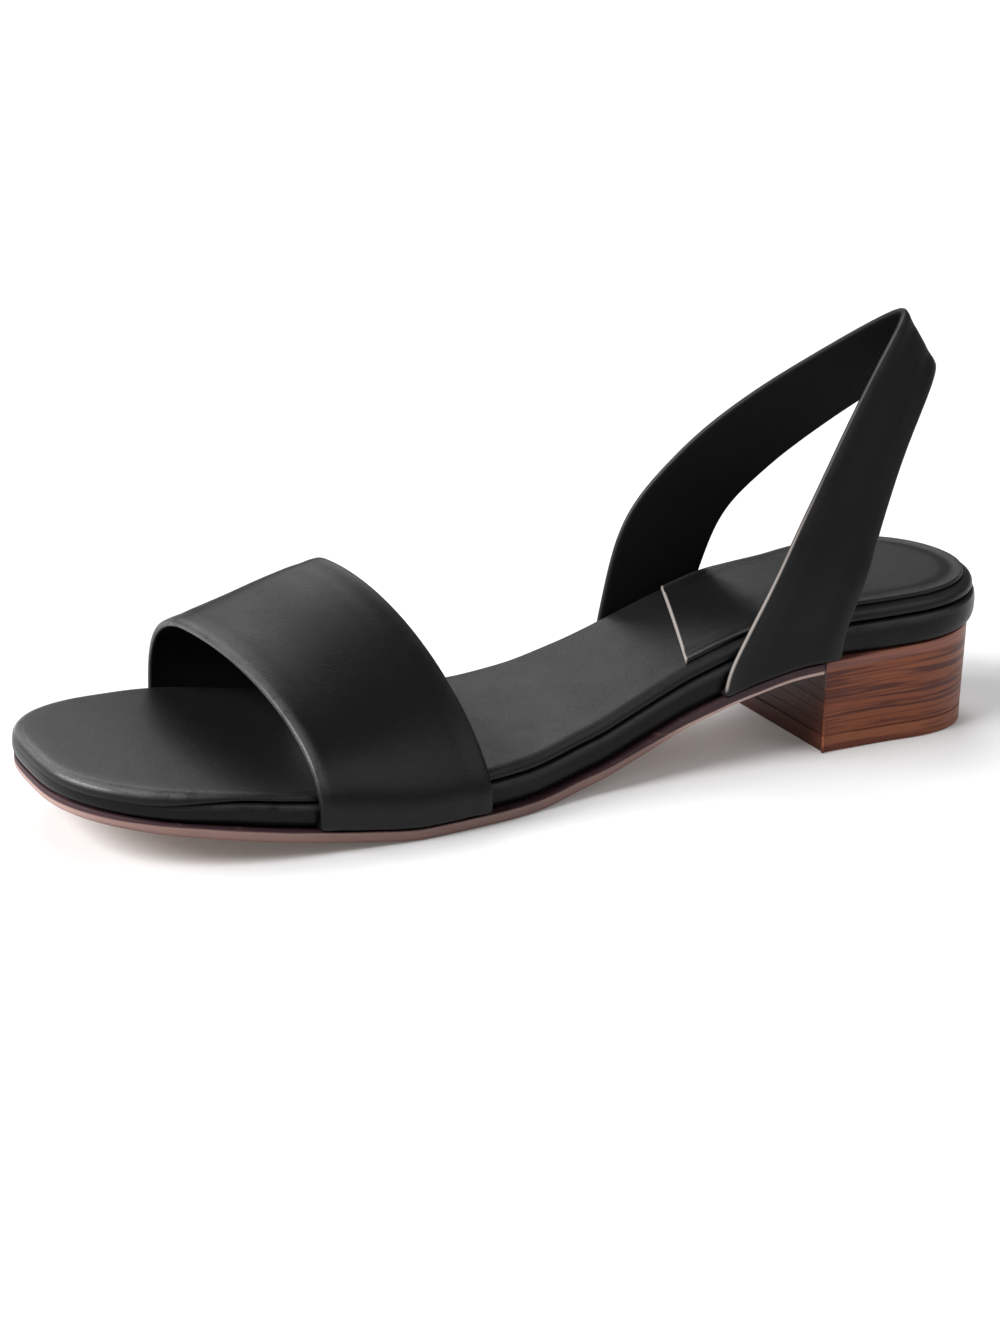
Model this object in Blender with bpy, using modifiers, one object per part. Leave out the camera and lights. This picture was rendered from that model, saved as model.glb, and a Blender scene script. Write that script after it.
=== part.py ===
"""Slingback sandal for the left foot, with a wide band over the toes, one sling strap and a
low stacked heel.

Units are metres, +Z is up, +X runs from the heel to the toe and +Y is the wearer's left, the
outer side. The origin is the middle of the heel tip's floor face. Stations along the sole are
measured forward from the back end of the footbed.
"""
import math

import bmesh
import bpy
import numpy as np

# Sole
SOLE_LONG = 0.250
BALL_WIDE = 0.088
HEEL_CAP = 0.0285
OUTER_TOE_CAP = 0.0435
INNER_TOE_CAP = 0.0515
SEAT_HIGH = 0.0248
TOE_SPRING = 0.0112
OUTSOLE_THICK = 0.0028
OUTSOLE_CHAMFER = 0.0007

# Footbed: its side wall, the cushion on it and the sock on the cushion's heel.
# The thickness is that of wall and cushion together.
FOOTBED_HEEL = 0.0118
FOOTBED_BALL = 0.0092
FOOTBED_TOE = 0.0066
WALL_ROUND = 0.0016
SHOULDER_WIDE = 0.0070
SOCK_THICK = 0.0009
SOCK_IN = 0.0034
SOCK_LINE_AT = 0.0830
SOCK_LINE_SKEW = 0.300

# Heel
HEEL_LONG = 0.0545
HEEL_INSET = 0.0005
HEEL_TAPER = 0.0006
HEEL_TIP_THICK = 0.0040

# Leather upper
STRAP_THICK = 0.0018
TUCK = 0.0090
GAP = 0.0003
SIDE_GAP = 0.0004
BEND = 0.0016
UPRIGHT = 0.0025

# Band over the toes: where its edges start on each side, its length there and its rise
BAND_AT_OUTER = 0.1510
BAND_AT_INNER = 0.1650
BAND_LONG_OUTER = 0.0440
BAND_LONG_INNER = 0.0395
BAND_RISE_BACK = 0.0345
BAND_RISE_FRONT = 0.0204

# Sling strap: where its feet start on each side, their length, and the height at the back
SLING_AT_OUTER = 0.0500
SLING_AT_INNER = 0.0635
SLING_FOOT_OUTER = 0.0330
SLING_FOOT_INNER = 0.0290
SLING_HIGH = 0.1057
SLING_REACH = 0.0900
SLING_SPREAD = 0.0285
SLING_FOLD = 0.05

# Half widths of the sole, as shares of the ball's width
SOLE_PLAN = {
    "along": (0.00, 0.12, 0.24, 0.36, 0.48, 0.60, 0.70, 0.80, 0.90, 1.00),
    "outer": (0.336, 0.303, 0.318, 0.315, 0.360, 0.450, 0.483, 0.480, 0.449, 0.395),
    "inner": (0.385, 0.354, 0.300, 0.268, 0.319, 0.418, 0.498, 0.534, 0.477, 0.423),
}

# Rise of the seat over the forefoot, as a share of the seat's height, and of the toe spring
SEAT_RISE = {
    "along": (0.00, 0.12, 0.24, 0.30, 0.36, 0.42, 0.48, 0.56, 1.00),
    "share": (1.10, 0.995, 0.935, 0.800, 0.590, 0.340, 0.130, 0.000, 0.000),
}
TOE_RISE = {
    "along": (0.00, 0.67, 0.74, 0.80, 0.86, 0.93, 1.00),
    "share": (0.000, 0.000, 0.150, 0.340, 0.550, 0.780, 1.000),
}

# How far the footbed's side stands in from the sole's edge, as a share of the strap's seat
SIDE_STAND = {
    "along": (0.00, 0.06, 0.14, 0.19, 0.85, 0.92, 1.00),
    "share": (-0.90, -0.60, 0.10, 1.00, 1.00, 0.25, -0.30),
}

# How high the side wall reaches, as a share of the footbed's thickness
WALL_RISE = {
    "along": (0.00, 0.45, 0.82, 0.92, 1.00),
    "share": (0.68, 0.68, 0.74, 0.79, 0.80),
}

# Section of the footbed's side wall. The inset is a share of the wall's rounding, the lift a
# share of the wall's height.
WALL_SECTION = {
    "inset": (1.00, 0.40, 0.05, 0.00, 0.12, 0.45, 1.00),
    "lift": (0.00, 0.10, 0.35, 0.60, 0.85, 0.96, 1.00),
}

# Section of the cushion's shoulder over the wall. The inset is a share of the shoulder's
# width, the lift a share of the cushion's height.
SHOULDER_SECTION = {
    "inset": (0.26, 0.12, 0.13, 0.19, 0.30, 0.50, 1.00),
    "lift": (0.00, 0.16, 0.38, 0.66, 0.85, 0.96, 1.00),
}

# Sling strap's edges, from the back of the heel to its feet. Forward, sideways and up are
# shares of the strap's reach, spread and height.
SLING_OUTER_FRONT = {
    "run": (0.0, 0.2, 0.4, 0.6, 0.8),
    "forward": (0.208, 0.363, 0.519, 0.667, 0.802),
    "sideways": (0.000, 0.265, 0.523, 0.770, 0.931),
    "up": (1.000, 0.870, 0.717, 0.562, 0.393),
}
SLING_OUTER_BACK = {
    "run": (0.0, 0.2, 0.4, 0.6, 0.8),
    "forward": (0.104, 0.208, 0.311, 0.400, 0.479),
    "sideways": (0.000, 0.302, 0.529, 0.728, 0.891),
    "up": (0.854, 0.769, 0.658, 0.536, 0.403),
}
SLING_INNER_FRONT = {
    "run": (0.0, 0.2, 0.4, 0.6, 0.8),
    "forward": (0.208, 0.401, 0.604, 0.790, 0.945),
    "sideways": (0.000, 0.286, 0.538, 0.760, 0.869),
    "up": (1.000, 0.891, 0.773, 0.630, 0.454),
}
SLING_INNER_BACK = {
    "run": (0.0, 0.2, 0.4, 0.6, 0.8),
    "forward": (0.104, 0.230, 0.368, 0.501, 0.620),
    "sideways": (0.000, 0.301, 0.536, 0.742, 0.888),
    "up": (0.854, 0.774, 0.679, 0.575, 0.453),
}

# Arch of the band from its back to its front edge: the crown's rise between those of both
# edges, its place across the foot, and how full the outer and the inner shoulder are
BAND_ARCH = {
    "along": (0.0, 0.3, 0.65, 1.0),
    "rise": (1.0, 0.79, 0.39, 0.0),
    "crown": (0.84, 0.80, 0.74, 0.69),
    "outer_across": (1.90, 1.91, 1.93, 1.95),
    "outer_up": (1.40, 1.56, 1.76, 1.95),
    "inner": (3.6, 3.4, 3.3, 3.1),
}

# Mesh counts
SIDE_STEPS = 26
CAP_STEPS = 8
BAND_COLUMNS = 5
BAND_STEPS = 36
SLING_COLUMNS = 4
SLING_STEPS = 27


def flow(rows, values, at):
    """Read a smooth curve without overshoot through the given rows."""
    rows = np.asarray(rows, float)
    values = np.asarray(values, float)
    at = np.clip(np.asarray(at, float), rows[0], rows[-1])
    step = np.diff(rows)
    slope = np.diff(values) / step
    lean = np.zeros(len(rows))
    lean[0] = slope[0]
    lean[-1] = slope[-1]
    same = slope[:-1] * slope[1:] > 0
    first = 2 * step[1:] + step[:-1]
    second = step[1:] + 2 * step[:-1]
    safe_low = np.where(same, slope[:-1], 1.0)
    safe_high = np.where(same, slope[1:], 1.0)
    lean[1:-1] = np.where(same, (first + second) / (first / safe_low + second / safe_high), 0.0)
    spot = np.clip(np.searchsorted(rows, at, side="right") - 1, 0, len(step) - 1)
    share = (at - rows[spot]) / step[spot]
    rest = 1.0 - share
    start = values[spot] * (1 + 2 * share) * rest ** 2
    end = values[spot + 1] * share ** 2 * (3 - 2 * share)
    bend = step[spot] * share * rest * (lean[spot] * rest - lean[spot + 1] * share)
    return start + end + bend


def table(columns, key, name, at):
    """Read one named column of a table at the given places along its first column."""
    return flow(columns[key], columns[name], at)


def seat(station):
    """Height of the outsole's top, which the footbed and straps sit on."""
    along = np.asarray(station) / SOLE_LONG
    rise = table(SEAT_RISE, "along", "share", along) * (SEAT_HIGH - OUTSOLE_THICK)
    spring = table(TOE_RISE, "along", "share", along) * TOE_SPRING
    return OUTSOLE_THICK + rise + spring


def footbed_thick(station):
    """Thickness of the footbed from its underside to the top of its rim."""
    along = np.asarray(station) / SOLE_LONG
    return flow((0.0, 0.26, 0.68, 1.0),
                (FOOTBED_HEEL, FOOTBED_HEEL, FOOTBED_BALL, FOOTBED_TOE), along)


def wall_top(station):
    """Height of the side wall's top over the seat."""
    share = table(WALL_RISE, "along", "share", np.asarray(station) / SOLE_LONG)
    return share * footbed_thick(station)


def half_width(side, station):
    """Half width of the sole on the outer or inner side, closed by round caps at both ends."""
    station = np.asarray(station, float)
    width = table(SOLE_PLAN, "along", side, station / SOLE_LONG) * BALL_WIDE
    heel = np.clip(1 - station / HEEL_CAP, 0, 1)
    width = width * np.sqrt(1 - heel ** 2)
    cap = OUTER_TOE_CAP if side == "outer" else INNER_TOE_CAP
    power = 3.1 if side == "outer" else 2.8
    toe = np.clip((station - (SOLE_LONG - cap)) / cap, 0, 1)
    return width * (1 - toe ** power) ** (1 / power)


def origin_side():
    """Sideways place of the heel's middle line in the sole's own plan."""
    middle = HEEL_LONG / 2
    return float(half_width("outer", middle) - half_width("inner", middle)) / 2


def placed(station, side, height):
    """Turn stations, sideways places and heights into points of the part's frame."""
    station, side, height = np.broadcast_arrays(station, side, height)
    return np.stack([station - HEEL_LONG / 2, side - origin_side(), height], axis=-1)


def dense_side(side, count=600):
    """Plan points of one side of the sole from the heel's tip to the toe's tip."""
    turn = np.linspace(0, math.pi, count)
    station = SOLE_LONG * (1 - np.cos(turn)) / 2
    sign = 1.0 if side == "outer" else -1.0
    return np.stack([station, sign * half_width(side, station)], axis=-1)


def plan_loop():
    """The sole's closed outline with its inward directions and running length."""
    outer = dense_side("outer")
    inner = dense_side("inner")[::-1]
    loop = np.concatenate([outer, inner[1:-1]])
    ahead = np.roll(loop, -1, axis=0)
    behind = np.roll(loop, 1, axis=0)
    along = ahead - behind
    along /= np.linalg.norm(along, axis=1)[:, None]
    inward = np.stack([along[:, 1], -along[:, 0]], axis=-1)
    run = np.concatenate([[0.0], np.cumsum(np.linalg.norm(ahead - loop, axis=1))])
    return loop, inward, run, len(outer)


LOOP, INWARD, RUN, TURNING = plan_loop()


def run_at(side, station):
    """Running length of the outline where one side passes a station."""
    if side == "outer":
        return float(np.interp(station, LOOP[:TURNING, 0], RUN[:TURNING]))
    stations = np.append(LOOP[TURNING - 1:, 0], LOOP[0, 0])
    return float(np.interp(-station, -stations, RUN[TURNING - 1:]))


def outline(run, inset):
    """Points of the outline at the given running lengths, moved inward by the inset."""
    run = np.asarray(run) % RUN[-1]
    points = np.concatenate([LOOP, LOOP[:1]])
    inward = np.concatenate([INWARD, INWARD[:1]])
    place = np.stack([np.interp(run, RUN, points[:, axis]) for axis in (0, 1)], axis=-1)
    lean = np.stack([np.interp(run, RUN, inward[:, axis]) for axis in (0, 1)], axis=-1)
    lean /= np.linalg.norm(lean, axis=-1)[..., None]
    return place + lean * np.asarray(inset)[..., None]


def perimeter(back_outer, back_inner, front, round_back, round_front):
    """Running lengths along the outer side, the toe, the inner side and the heel of a shape.

    A round end follows the outline round the tip. A straight end is None and left to a chord.
    """
    outer = np.linspace(run_at("outer", back_outer), run_at("outer", front), SIDE_STEPS + 1)
    inner = np.linspace(run_at("inner", front), run_at("inner", back_inner), SIDE_STEPS + 1)
    toe = np.linspace(outer[-1], inner[0], CAP_STEPS + 1) if round_front else None
    heel = np.linspace(inner[-1], outer[0] + RUN[-1], CAP_STEPS + 1) if round_back else None
    return outer, toe, inner, heel


def ring(shape, inset):
    """One closed plan ring of a shape at an inset, in order round the shape."""
    outer, toe, inner, heel = shape
    share = np.linspace(0, 1, CAP_STEPS + 1)[:, None]
    near = outline(outer, np.full(len(outer), inset))
    far = outline(inner, np.full(len(inner), inset))
    if toe is None:
        front = near[-1] * (1 - share) + far[0] * share
    else:
        front = outline(toe, np.full(len(toe), inset))
    if heel is None:
        back = far[-1] * (1 - share) + near[0] * share
    else:
        back = outline(heel, np.full(len(heel), inset))
    return np.concatenate([near[:-1], front[:-1], far[:-1], back[:-1]])


def fill(loop):
    """Grid of plan points that spans a ring: rungs from back to front, columns outer to inner."""
    rungs = SIDE_STEPS
    columns = CAP_STEPS
    near = loop[:rungs + 1]
    front = loop[rungs:rungs + columns + 1]
    far = loop[rungs + columns:2 * rungs + columns + 1][::-1]
    back = np.concatenate([loop[2 * rungs + columns:], loop[:1]])[::-1]
    along = np.linspace(0, 1, rungs + 1)[:, None, None]
    across = np.linspace(0, 1, columns + 1)[None, :, None]
    sides = near[:, None] * (1 - across) + far[:, None] * across
    ends = back[None] * (1 - along) + front[None] * along
    corners = ((near[0] * (1 - across) + far[0] * across) * (1 - along)
               + (near[-1] * (1 - across) + far[-1] * across) * along)
    return sides + ends - corners


def add_object(name, points, faces, material, smooth=50):
    """Make a mesh object from points and faces, with outward faces and smooth shading."""
    mesh = bpy.data.meshes.new(name)
    mesh.from_pydata([tuple(point) for point in points], [], faces)
    work = bmesh.new()
    work.from_mesh(mesh)
    bmesh.ops.remove_doubles(work, verts=work.verts, dist=1e-7)
    bmesh.ops.recalc_face_normals(work, faces=work.faces)
    work.to_mesh(mesh)
    work.free()
    mesh.shade_smooth()
    mesh.set_sharp_from_angle(angle=math.radians(smooth))
    mesh.materials.append(material)
    item = bpy.data.objects.new(name, mesh)
    PARTS.objects.link(item)
    return item


def stacked(name, shape, levels, material):
    """Closed solid from a stack of rings, each given by its inset and its height function.

    The first ring closes the underside and the last ring closes the top.
    """
    points = []
    faces = []
    loops = []
    for inset, height in levels:
        if callable(inset):
            plan = ring(shape, 0.0)
            deep = ring(shape, 0.001)
            plan = plan + (deep - plan) / 0.001 * inset(plan[:, 0])[:, None]
        else:
            plan = ring(shape, inset)
        loops.append((plan, height))
    count = len(loops[0][0])
    for plan, height in loops:
        points.extend(placed(plan[:, 0], plan[:, 1], height(plan[:, 0])))
    for level in range(len(loops) - 1):
        for spot in range(count):
            ahead = (spot + 1) % count
            low = level * count
            high = low + count
            faces.append((low + spot, low + ahead, high + ahead, high + spot))
    for level in (0, len(loops) - 1):
        plan, height = loops[level]
        grid = fill(plan)
        rungs, columns = grid.shape[:2]
        base = len(points)
        flat = grid.reshape(-1, 2)
        points.extend(placed(flat[:, 0], flat[:, 1], height(flat[:, 0])))
        for rung in range(rungs - 1):
            for column in range(columns - 1):
                corner = base + rung * columns + column
                faces.append((corner, corner + 1, corner + columns + 1, corner + columns))
    return add_object(name, points, faces, material)


def sheet(name, grid, material, thick):
    """Open surface from a grid of points, thickened to a closed wall."""
    rows, columns = grid.shape[:2]
    faces = []
    for row in range(rows - 1):
        for column in range(columns - 1):
            corner = row * columns + column
            faces.append((corner, corner + 1, corner + columns + 1, corner + columns))
    item = add_object(name, grid.reshape(-1, 3), faces, material)
    wall = item.modifiers.new("wall", "SOLIDIFY")
    wall.thickness = thick
    wall.offset = 0.0
    wall.use_even_offset = True
    wall.use_quality_normals = True
    return item


def paint(name, color, rough, metal=0.0):
    """A material with the piece's own colour, roughness and metallic value."""
    material = bpy.data.materials.new(name)
    material.use_nodes = True
    shader = material.node_tree.nodes["Principled BSDF"]
    shader.inputs["Base Color"].default_value = (*color, 1.0)
    shader.inputs["Roughness"].default_value = rough
    shader.inputs["Metallic"].default_value = metal
    material.diffuse_color = (*color, 1.0)
    return material


def side_inset(station):
    """Inset of the footbed's widest line from the sole's edge."""
    along = np.asarray(station) / SOLE_LONG
    share = table(SIDE_STAND, "along", "share", along)
    return share * (STRAP_THICK / 2 + SIDE_GAP)


def inset_by(depth):
    """Function for the inset of a ring that lies a given depth inside the wall's widest line."""
    return lambda station: side_inset(station) + depth


def wall_height(share):
    """Function for the height of one ring of the side wall."""
    return lambda station: seat(station) + GAP + share * (wall_top(station) - GAP)


def cushion_height(share):
    """Function for the height of one ring of the cushion on the wall."""
    def height(station):
        low = wall_top(station) + GAP
        return seat(station) + low + share * (footbed_thick(station) - low)
    return height


def sock_height(depth, lift):
    """Function for a ring of the heel sock: the cushion's shoulder at that depth, plus a lift."""
    share = float(flow(SHOULDER_SECTION["inset"][1:], SHOULDER_SECTION["lift"][1:],
                       depth / SHOULDER_WIDE))
    below = cushion_height(share)
    return lambda station: below(station) + lift


def strap_tuck(side, station):
    """Path of a strap's end, from under the footbed round its lower corner to its side.

    Returned as rows of station, sideways place and height for the given stations, from the
    inner end to the side of the footbed.
    """
    sign = 1.0 if side == "outer" else -1.0
    edge = half_width(side, station)
    base = seat(station) + GAP + STRAP_THICK / 2
    rows = [(station, sign * (edge - TUCK), base), (station, sign * (edge - TUCK / 2), base)]
    for turn in np.linspace(0, math.pi / 2, 4):
        inward = BEND * (1 - math.sin(turn))
        lift = BEND * (1 - math.cos(turn))
        rows.append((station, sign * (edge - inward), base + lift))
    rows.append((station, sign * edge, base + BEND + UPRIGHT))
    return np.stack([np.stack(np.broadcast_arrays(*row), axis=-1) for row in rows])


def slot(name, side, back, front):
    """Cutter for the slot in the footbed's underside that takes a strap's end."""
    sign = 1.0 if side == "outer" else -1.0
    station = np.linspace(back - GAP, front + GAP, 6)
    edge = half_width(side, station)
    top = seat(station) + STRAP_THICK + 2 * GAP
    low = seat(station) - 3 * GAP
    deep = sign * (edge - TUCK - GAP)
    wide = sign * (edge + BEND)
    corners = [(deep, low), (wide, low), (wide, top), (deep, top)]
    points = np.stack([placed(station, across, height) for across, height in corners], axis=1)
    faces = [(0, 1, 2, 3)]
    count = len(station)
    for row in range(count - 1):
        for corner in range(4):
            ahead = (corner + 1) % 4
            faces.append((row * 4 + corner, row * 4 + ahead, row * 4 + 4 + ahead,
                          row * 4 + 4 + corner))
    last = (count - 1) * 4
    faces.append((last + 3, last + 2, last + 1, last))
    cutter = add_object(name, points.reshape(-1, 3), faces, LEATHER)
    PARTS.objects.unlink(cutter)
    CUTTERS.objects.link(cutter)
    cutter.hide_render = True
    cutter.display_type = "WIRE"
    return cutter


def cut(item, cutter):
    """Take a cutter's shape out of a piece."""
    step = item.modifiers.new(cutter.name, "BOOLEAN")
    step.operation = "DIFFERENCE"
    step.object = cutter


def even(path, count):
    """Resample each column of a path evenly along its length."""
    rows = np.empty((count, *path.shape[1:]))
    for column in range(path.shape[1]):
        line = path[:, column]
        run = np.concatenate([[0.0], np.cumsum(np.linalg.norm(np.diff(line, axis=0), axis=1))])
        at = np.linspace(0, run[-1], count)
        for axis in range(3):
            rows[:, column, axis] = np.interp(at, run, line[:, axis])
    return rows


def band_grid():
    """Middle surface of the band over the toes, from its outer end to its inner end."""
    share = np.linspace(0, 1, BAND_COLUMNS + 1)
    outer = BAND_AT_OUTER + share * BAND_LONG_OUTER
    inner = BAND_AT_INNER + share * BAND_LONG_INNER
    start = strap_tuck("outer", outer)
    end = strap_tuck("inner", inner)[::-1]
    middle = (outer + inner) / 2
    rise = table(BAND_ARCH, "along", "rise", share) * (BAND_RISE_BACK - BAND_RISE_FRONT)
    crown = seat(middle) + footbed_thick(middle) + BAND_RISE_FRONT + rise
    foot_outer = start[-1, :, 2]
    foot_inner = end[0, :, 2]
    wide = start[-1, :, 1] - end[0, :, 1]
    peak = start[-1, :, 1] - wide * table(BAND_ARCH, "along", "crown", share)
    near_power = table(BAND_ARCH, "along", "outer_across", share)
    near_up = table(BAND_ARCH, "along", "outer_up", share)
    far_power = table(BAND_ARCH, "along", "inner", share)
    turn = np.linspace(0, math.pi / 2, 120)[:, None]
    reach = start[-1, :, 1] - peak
    near_y = peak + reach * np.cos(turn) ** (2 / near_power)
    near_z = foot_outer + (crown - foot_outer) * np.sin(turn) ** (2 / near_up)
    back = turn[::-1][1:]
    reach = peak - end[0, :, 1]
    far_y = peak - reach * np.cos(back) ** (2 / far_power)
    far_z = foot_inner + (crown - foot_inner) * np.sin(back) ** (2 / far_power)
    side = np.concatenate([near_y, far_y])
    high = np.concatenate([near_z, far_z])
    cross = (start[-1, :, 1] - side) / wide
    station = outer + (inner - outer) * cross
    arch = even(np.stack([station, side, high], axis=-1), BAND_STEPS + 1)
    grid = np.concatenate([start[:-1], arch, end[1:]])
    return placed(grid[..., 0], grid[..., 1], grid[..., 2])


def sling_edge(rows, side, foot, run):
    """One edge of the sling strap on one side, at runs from 0 at the back to 1 at the foot."""
    sign = 1.0 if side == "outer" else -1.0
    runs = rows["run"] + (1.0,)
    drop = strap_tuck(side, foot)[-1]
    ahead = tuple(np.array(rows["forward"]) * SLING_REACH) + (float(drop[0]),)
    across = tuple(np.array(rows["sideways"]) * SLING_SPREAD) + (abs(float(drop[1])),)
    height = tuple(np.array(rows["up"]) * SLING_HIGH) + (float(drop[2]),)
    soft = np.sqrt(run ** 2 + SLING_FOLD ** 2) - SLING_FOLD
    soft = soft / (math.sqrt(1 + SLING_FOLD ** 2) - SLING_FOLD)
    return np.stack([flow(runs, ahead, soft), sign * flow(runs, across, run),
                     flow(runs, height, soft)], axis=-1)


def sling_grid():
    """Middle surface of the sling strap, from its outer foot round the heel to its inner foot."""
    share = np.linspace(0, 1, SLING_COLUMNS + 1)
    run = np.linspace(0, 1, SLING_STEPS + 1)
    run = run ** 1.15
    halves = []
    sides = (("outer", SLING_OUTER_BACK, SLING_OUTER_FRONT, SLING_AT_OUTER, SLING_FOOT_OUTER),
             ("inner", SLING_INNER_BACK, SLING_INNER_FRONT, SLING_AT_INNER, SLING_FOOT_INNER))
    for side, back_rows, front_rows, start, long in sides:
        back = sling_edge(back_rows, side, start, run)
        front = sling_edge(front_rows, side, start + long, run)
        ribbon = back[:, None] * (1 - share[:, None]) + front[:, None] * share[:, None]
        foot = strap_tuck(side, start + share * long)[::-1]
        halves.append(np.concatenate([ribbon[:-1], foot]))
    grid = np.concatenate([halves[0][::-1], halves[1][1:]])
    return placed(grid[..., 0], grid[..., 1], grid[..., 2])


for old in list(bpy.data.objects):
    bpy.data.objects.remove(old, do_unlink=True)

PARTS = bpy.data.collections.new("slingback_sandal")
CUTTERS = bpy.data.collections.new("cutters")
bpy.context.scene.collection.children.link(PARTS)
bpy.context.scene.collection.children.link(CUTTERS)

LEATHER = paint("band_leather", (0.012, 0.012, 0.013), 0.42)
SLING = paint("sling_leather", (0.012, 0.012, 0.013), 0.46)
WRAP = paint("footbed_leather", (0.010, 0.010, 0.011), 0.38)
SOCK = paint("cushion_leather", (0.022, 0.022, 0.023), 0.50)
HEEL_SOCK = paint("heel_sock_leather", (0.018, 0.018, 0.019), 0.45)
SOLE_EDGE = paint("outsole_leather", (0.30, 0.19, 0.16), 0.60)
STACK = paint("stacked_heel", (0.20, 0.060, 0.030), 0.45)
TIP = paint("heel_tip_stack", (0.27, 0.100, 0.055), 0.50)

# Outsole, from the heel breast to the toe
sole_shape = perimeter(HEEL_LONG + GAP, HEEL_LONG + GAP, SOLE_LONG * 0.972, False, True)
outsole = stacked("outsole", sole_shape, (
    (OUTSOLE_CHAMFER, lambda station: seat(station) - OUTSOLE_THICK),
    (0.0, lambda station: seat(station) - OUTSOLE_THICK + OUTSOLE_CHAMFER),
    (0.0, seat),
), SOLE_EDGE)

# Footbed, with its side wall
whole_shape = perimeter(SOLE_LONG * 0.03, SOLE_LONG * 0.03, SOLE_LONG * 0.972, True, True)
footbed = stacked("footbed", whole_shape, [
    (inset_by(inset * WALL_ROUND), wall_height(lift))
    for inset, lift in zip(WALL_SECTION["inset"], WALL_SECTION["lift"])
], WRAP)
slots = (("band_slot_outer", "outer", BAND_AT_OUTER, BAND_LONG_OUTER),
         ("band_slot_inner", "inner", BAND_AT_INNER, BAND_LONG_INNER),
         ("sling_slot_outer", "outer", SLING_AT_OUTER, SLING_FOOT_OUTER),
         ("sling_slot_inner", "inner", SLING_AT_INNER, SLING_FOOT_INNER))
for slot_name, slot_side, slot_at, slot_long in slots:
    cut(footbed, slot(slot_name, slot_side, slot_at, slot_at + slot_long))

# Cushion on the wall, from the heel to the toe
insole_cushion = stacked("insole_cushion", whole_shape, [
    (inset_by(inset * SHOULDER_WIDE), cushion_height(lift))
    for inset, lift in zip(SHOULDER_SECTION["inset"], SHOULDER_SECTION["lift"])
], SOCK)

# Heel sock on the cushion, from the heel's back to its oblique front edge
line_outer = SOCK_LINE_AT + SOCK_LINE_SKEW * half_width("outer", SOCK_LINE_AT)
line_inner = SOCK_LINE_AT - SOCK_LINE_SKEW * half_width("inner", SOCK_LINE_AT)
sock_back = SOLE_LONG * 0.045
sock_outer = np.linspace(run_at("outer", sock_back), run_at("outer", line_outer), SIDE_STEPS + 1)
sock_inner = np.linspace(run_at("inner", line_inner), run_at("inner", sock_back), SIDE_STEPS + 1)
sock_cap = np.linspace(sock_inner[-1], sock_outer[0] + RUN[-1], CAP_STEPS + 1)
heel_sock = stacked("heel_sock", (sock_outer, None, sock_inner, sock_cap), (
    (inset_by(SHOULDER_WIDE), sock_height(SHOULDER_WIDE, GAP)),
    (inset_by((SOCK_IN + SHOULDER_WIDE) / 2), sock_height((SOCK_IN + SHOULDER_WIDE) / 2, GAP)),
    (inset_by(SOCK_IN), sock_height(SOCK_IN, GAP)),
    (inset_by(SOCK_IN), sock_height(SOCK_IN, GAP + SOCK_THICK)),
    (inset_by((SOCK_IN + SHOULDER_WIDE) / 2),
     sock_height((SOCK_IN + SHOULDER_WIDE) / 2, GAP + SOCK_THICK)),
    (inset_by(SHOULDER_WIDE), sock_height(SHOULDER_WIDE, GAP + SOCK_THICK)),
), HEEL_SOCK)

# Stacked heel and its tip
block_shape = perimeter(SOLE_LONG * 0.03, SOLE_LONG * 0.03, HEEL_LONG, True, False)
heel_block = stacked("heel_block", block_shape, (
    (HEEL_INSET + HEEL_TAPER, lambda station: np.full(np.shape(station), HEEL_TIP_THICK + GAP)),
    (HEEL_INSET, seat),
), STACK)
heel_tip = stacked("heel_tip", block_shape, (
    (HEEL_INSET + HEEL_TAPER, lambda station: np.zeros(np.shape(station))),
    (HEEL_INSET + HEEL_TAPER, lambda station: np.full(np.shape(station), HEEL_TIP_THICK)),
), TIP)

# Upper
vamp_band = sheet("vamp_band", band_grid(), LEATHER, STRAP_THICK)
sling_strap = sheet("sling_strap", sling_grid(), SLING, STRAP_THICK)
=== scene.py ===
# %% [markdown]
# # A black slingback sandal, left shoe
# The real shoe is a leather sandal with one wide band over the toes, one strap round the heel
# and a low stacked heel. It stands empty on a pale floor, its outer side to the camera.
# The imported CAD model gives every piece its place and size. Here each piece is made again as
# a fine surface with its real edges, and each finish as a material worked out from noise.

# %% Load the packed sandal
import math

import bmesh
import bpy
import numpy as np
from mathutils import Matrix, Vector


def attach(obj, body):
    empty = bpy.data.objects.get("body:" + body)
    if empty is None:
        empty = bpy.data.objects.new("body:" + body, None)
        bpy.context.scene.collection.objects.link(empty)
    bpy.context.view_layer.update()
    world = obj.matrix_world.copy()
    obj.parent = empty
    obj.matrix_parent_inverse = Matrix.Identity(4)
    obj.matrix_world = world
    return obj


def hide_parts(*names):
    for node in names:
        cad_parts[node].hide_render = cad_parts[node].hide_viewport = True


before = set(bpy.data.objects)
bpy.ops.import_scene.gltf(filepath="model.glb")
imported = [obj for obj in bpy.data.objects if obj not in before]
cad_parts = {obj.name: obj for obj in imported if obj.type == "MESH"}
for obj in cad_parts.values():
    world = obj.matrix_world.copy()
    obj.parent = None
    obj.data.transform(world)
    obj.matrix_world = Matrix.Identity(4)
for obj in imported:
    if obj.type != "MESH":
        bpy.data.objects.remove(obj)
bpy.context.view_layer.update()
print("nodes:", sorted(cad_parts))

# %% [markdown]
# ## The camera
# A product camera stands a good step away and looks down a little, so that lines along the
# shoe hardly run together. The target, turn, height and distance below were found by laying
# known corners of the shoe over the picture. A long lens keeps the same crop.

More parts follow.
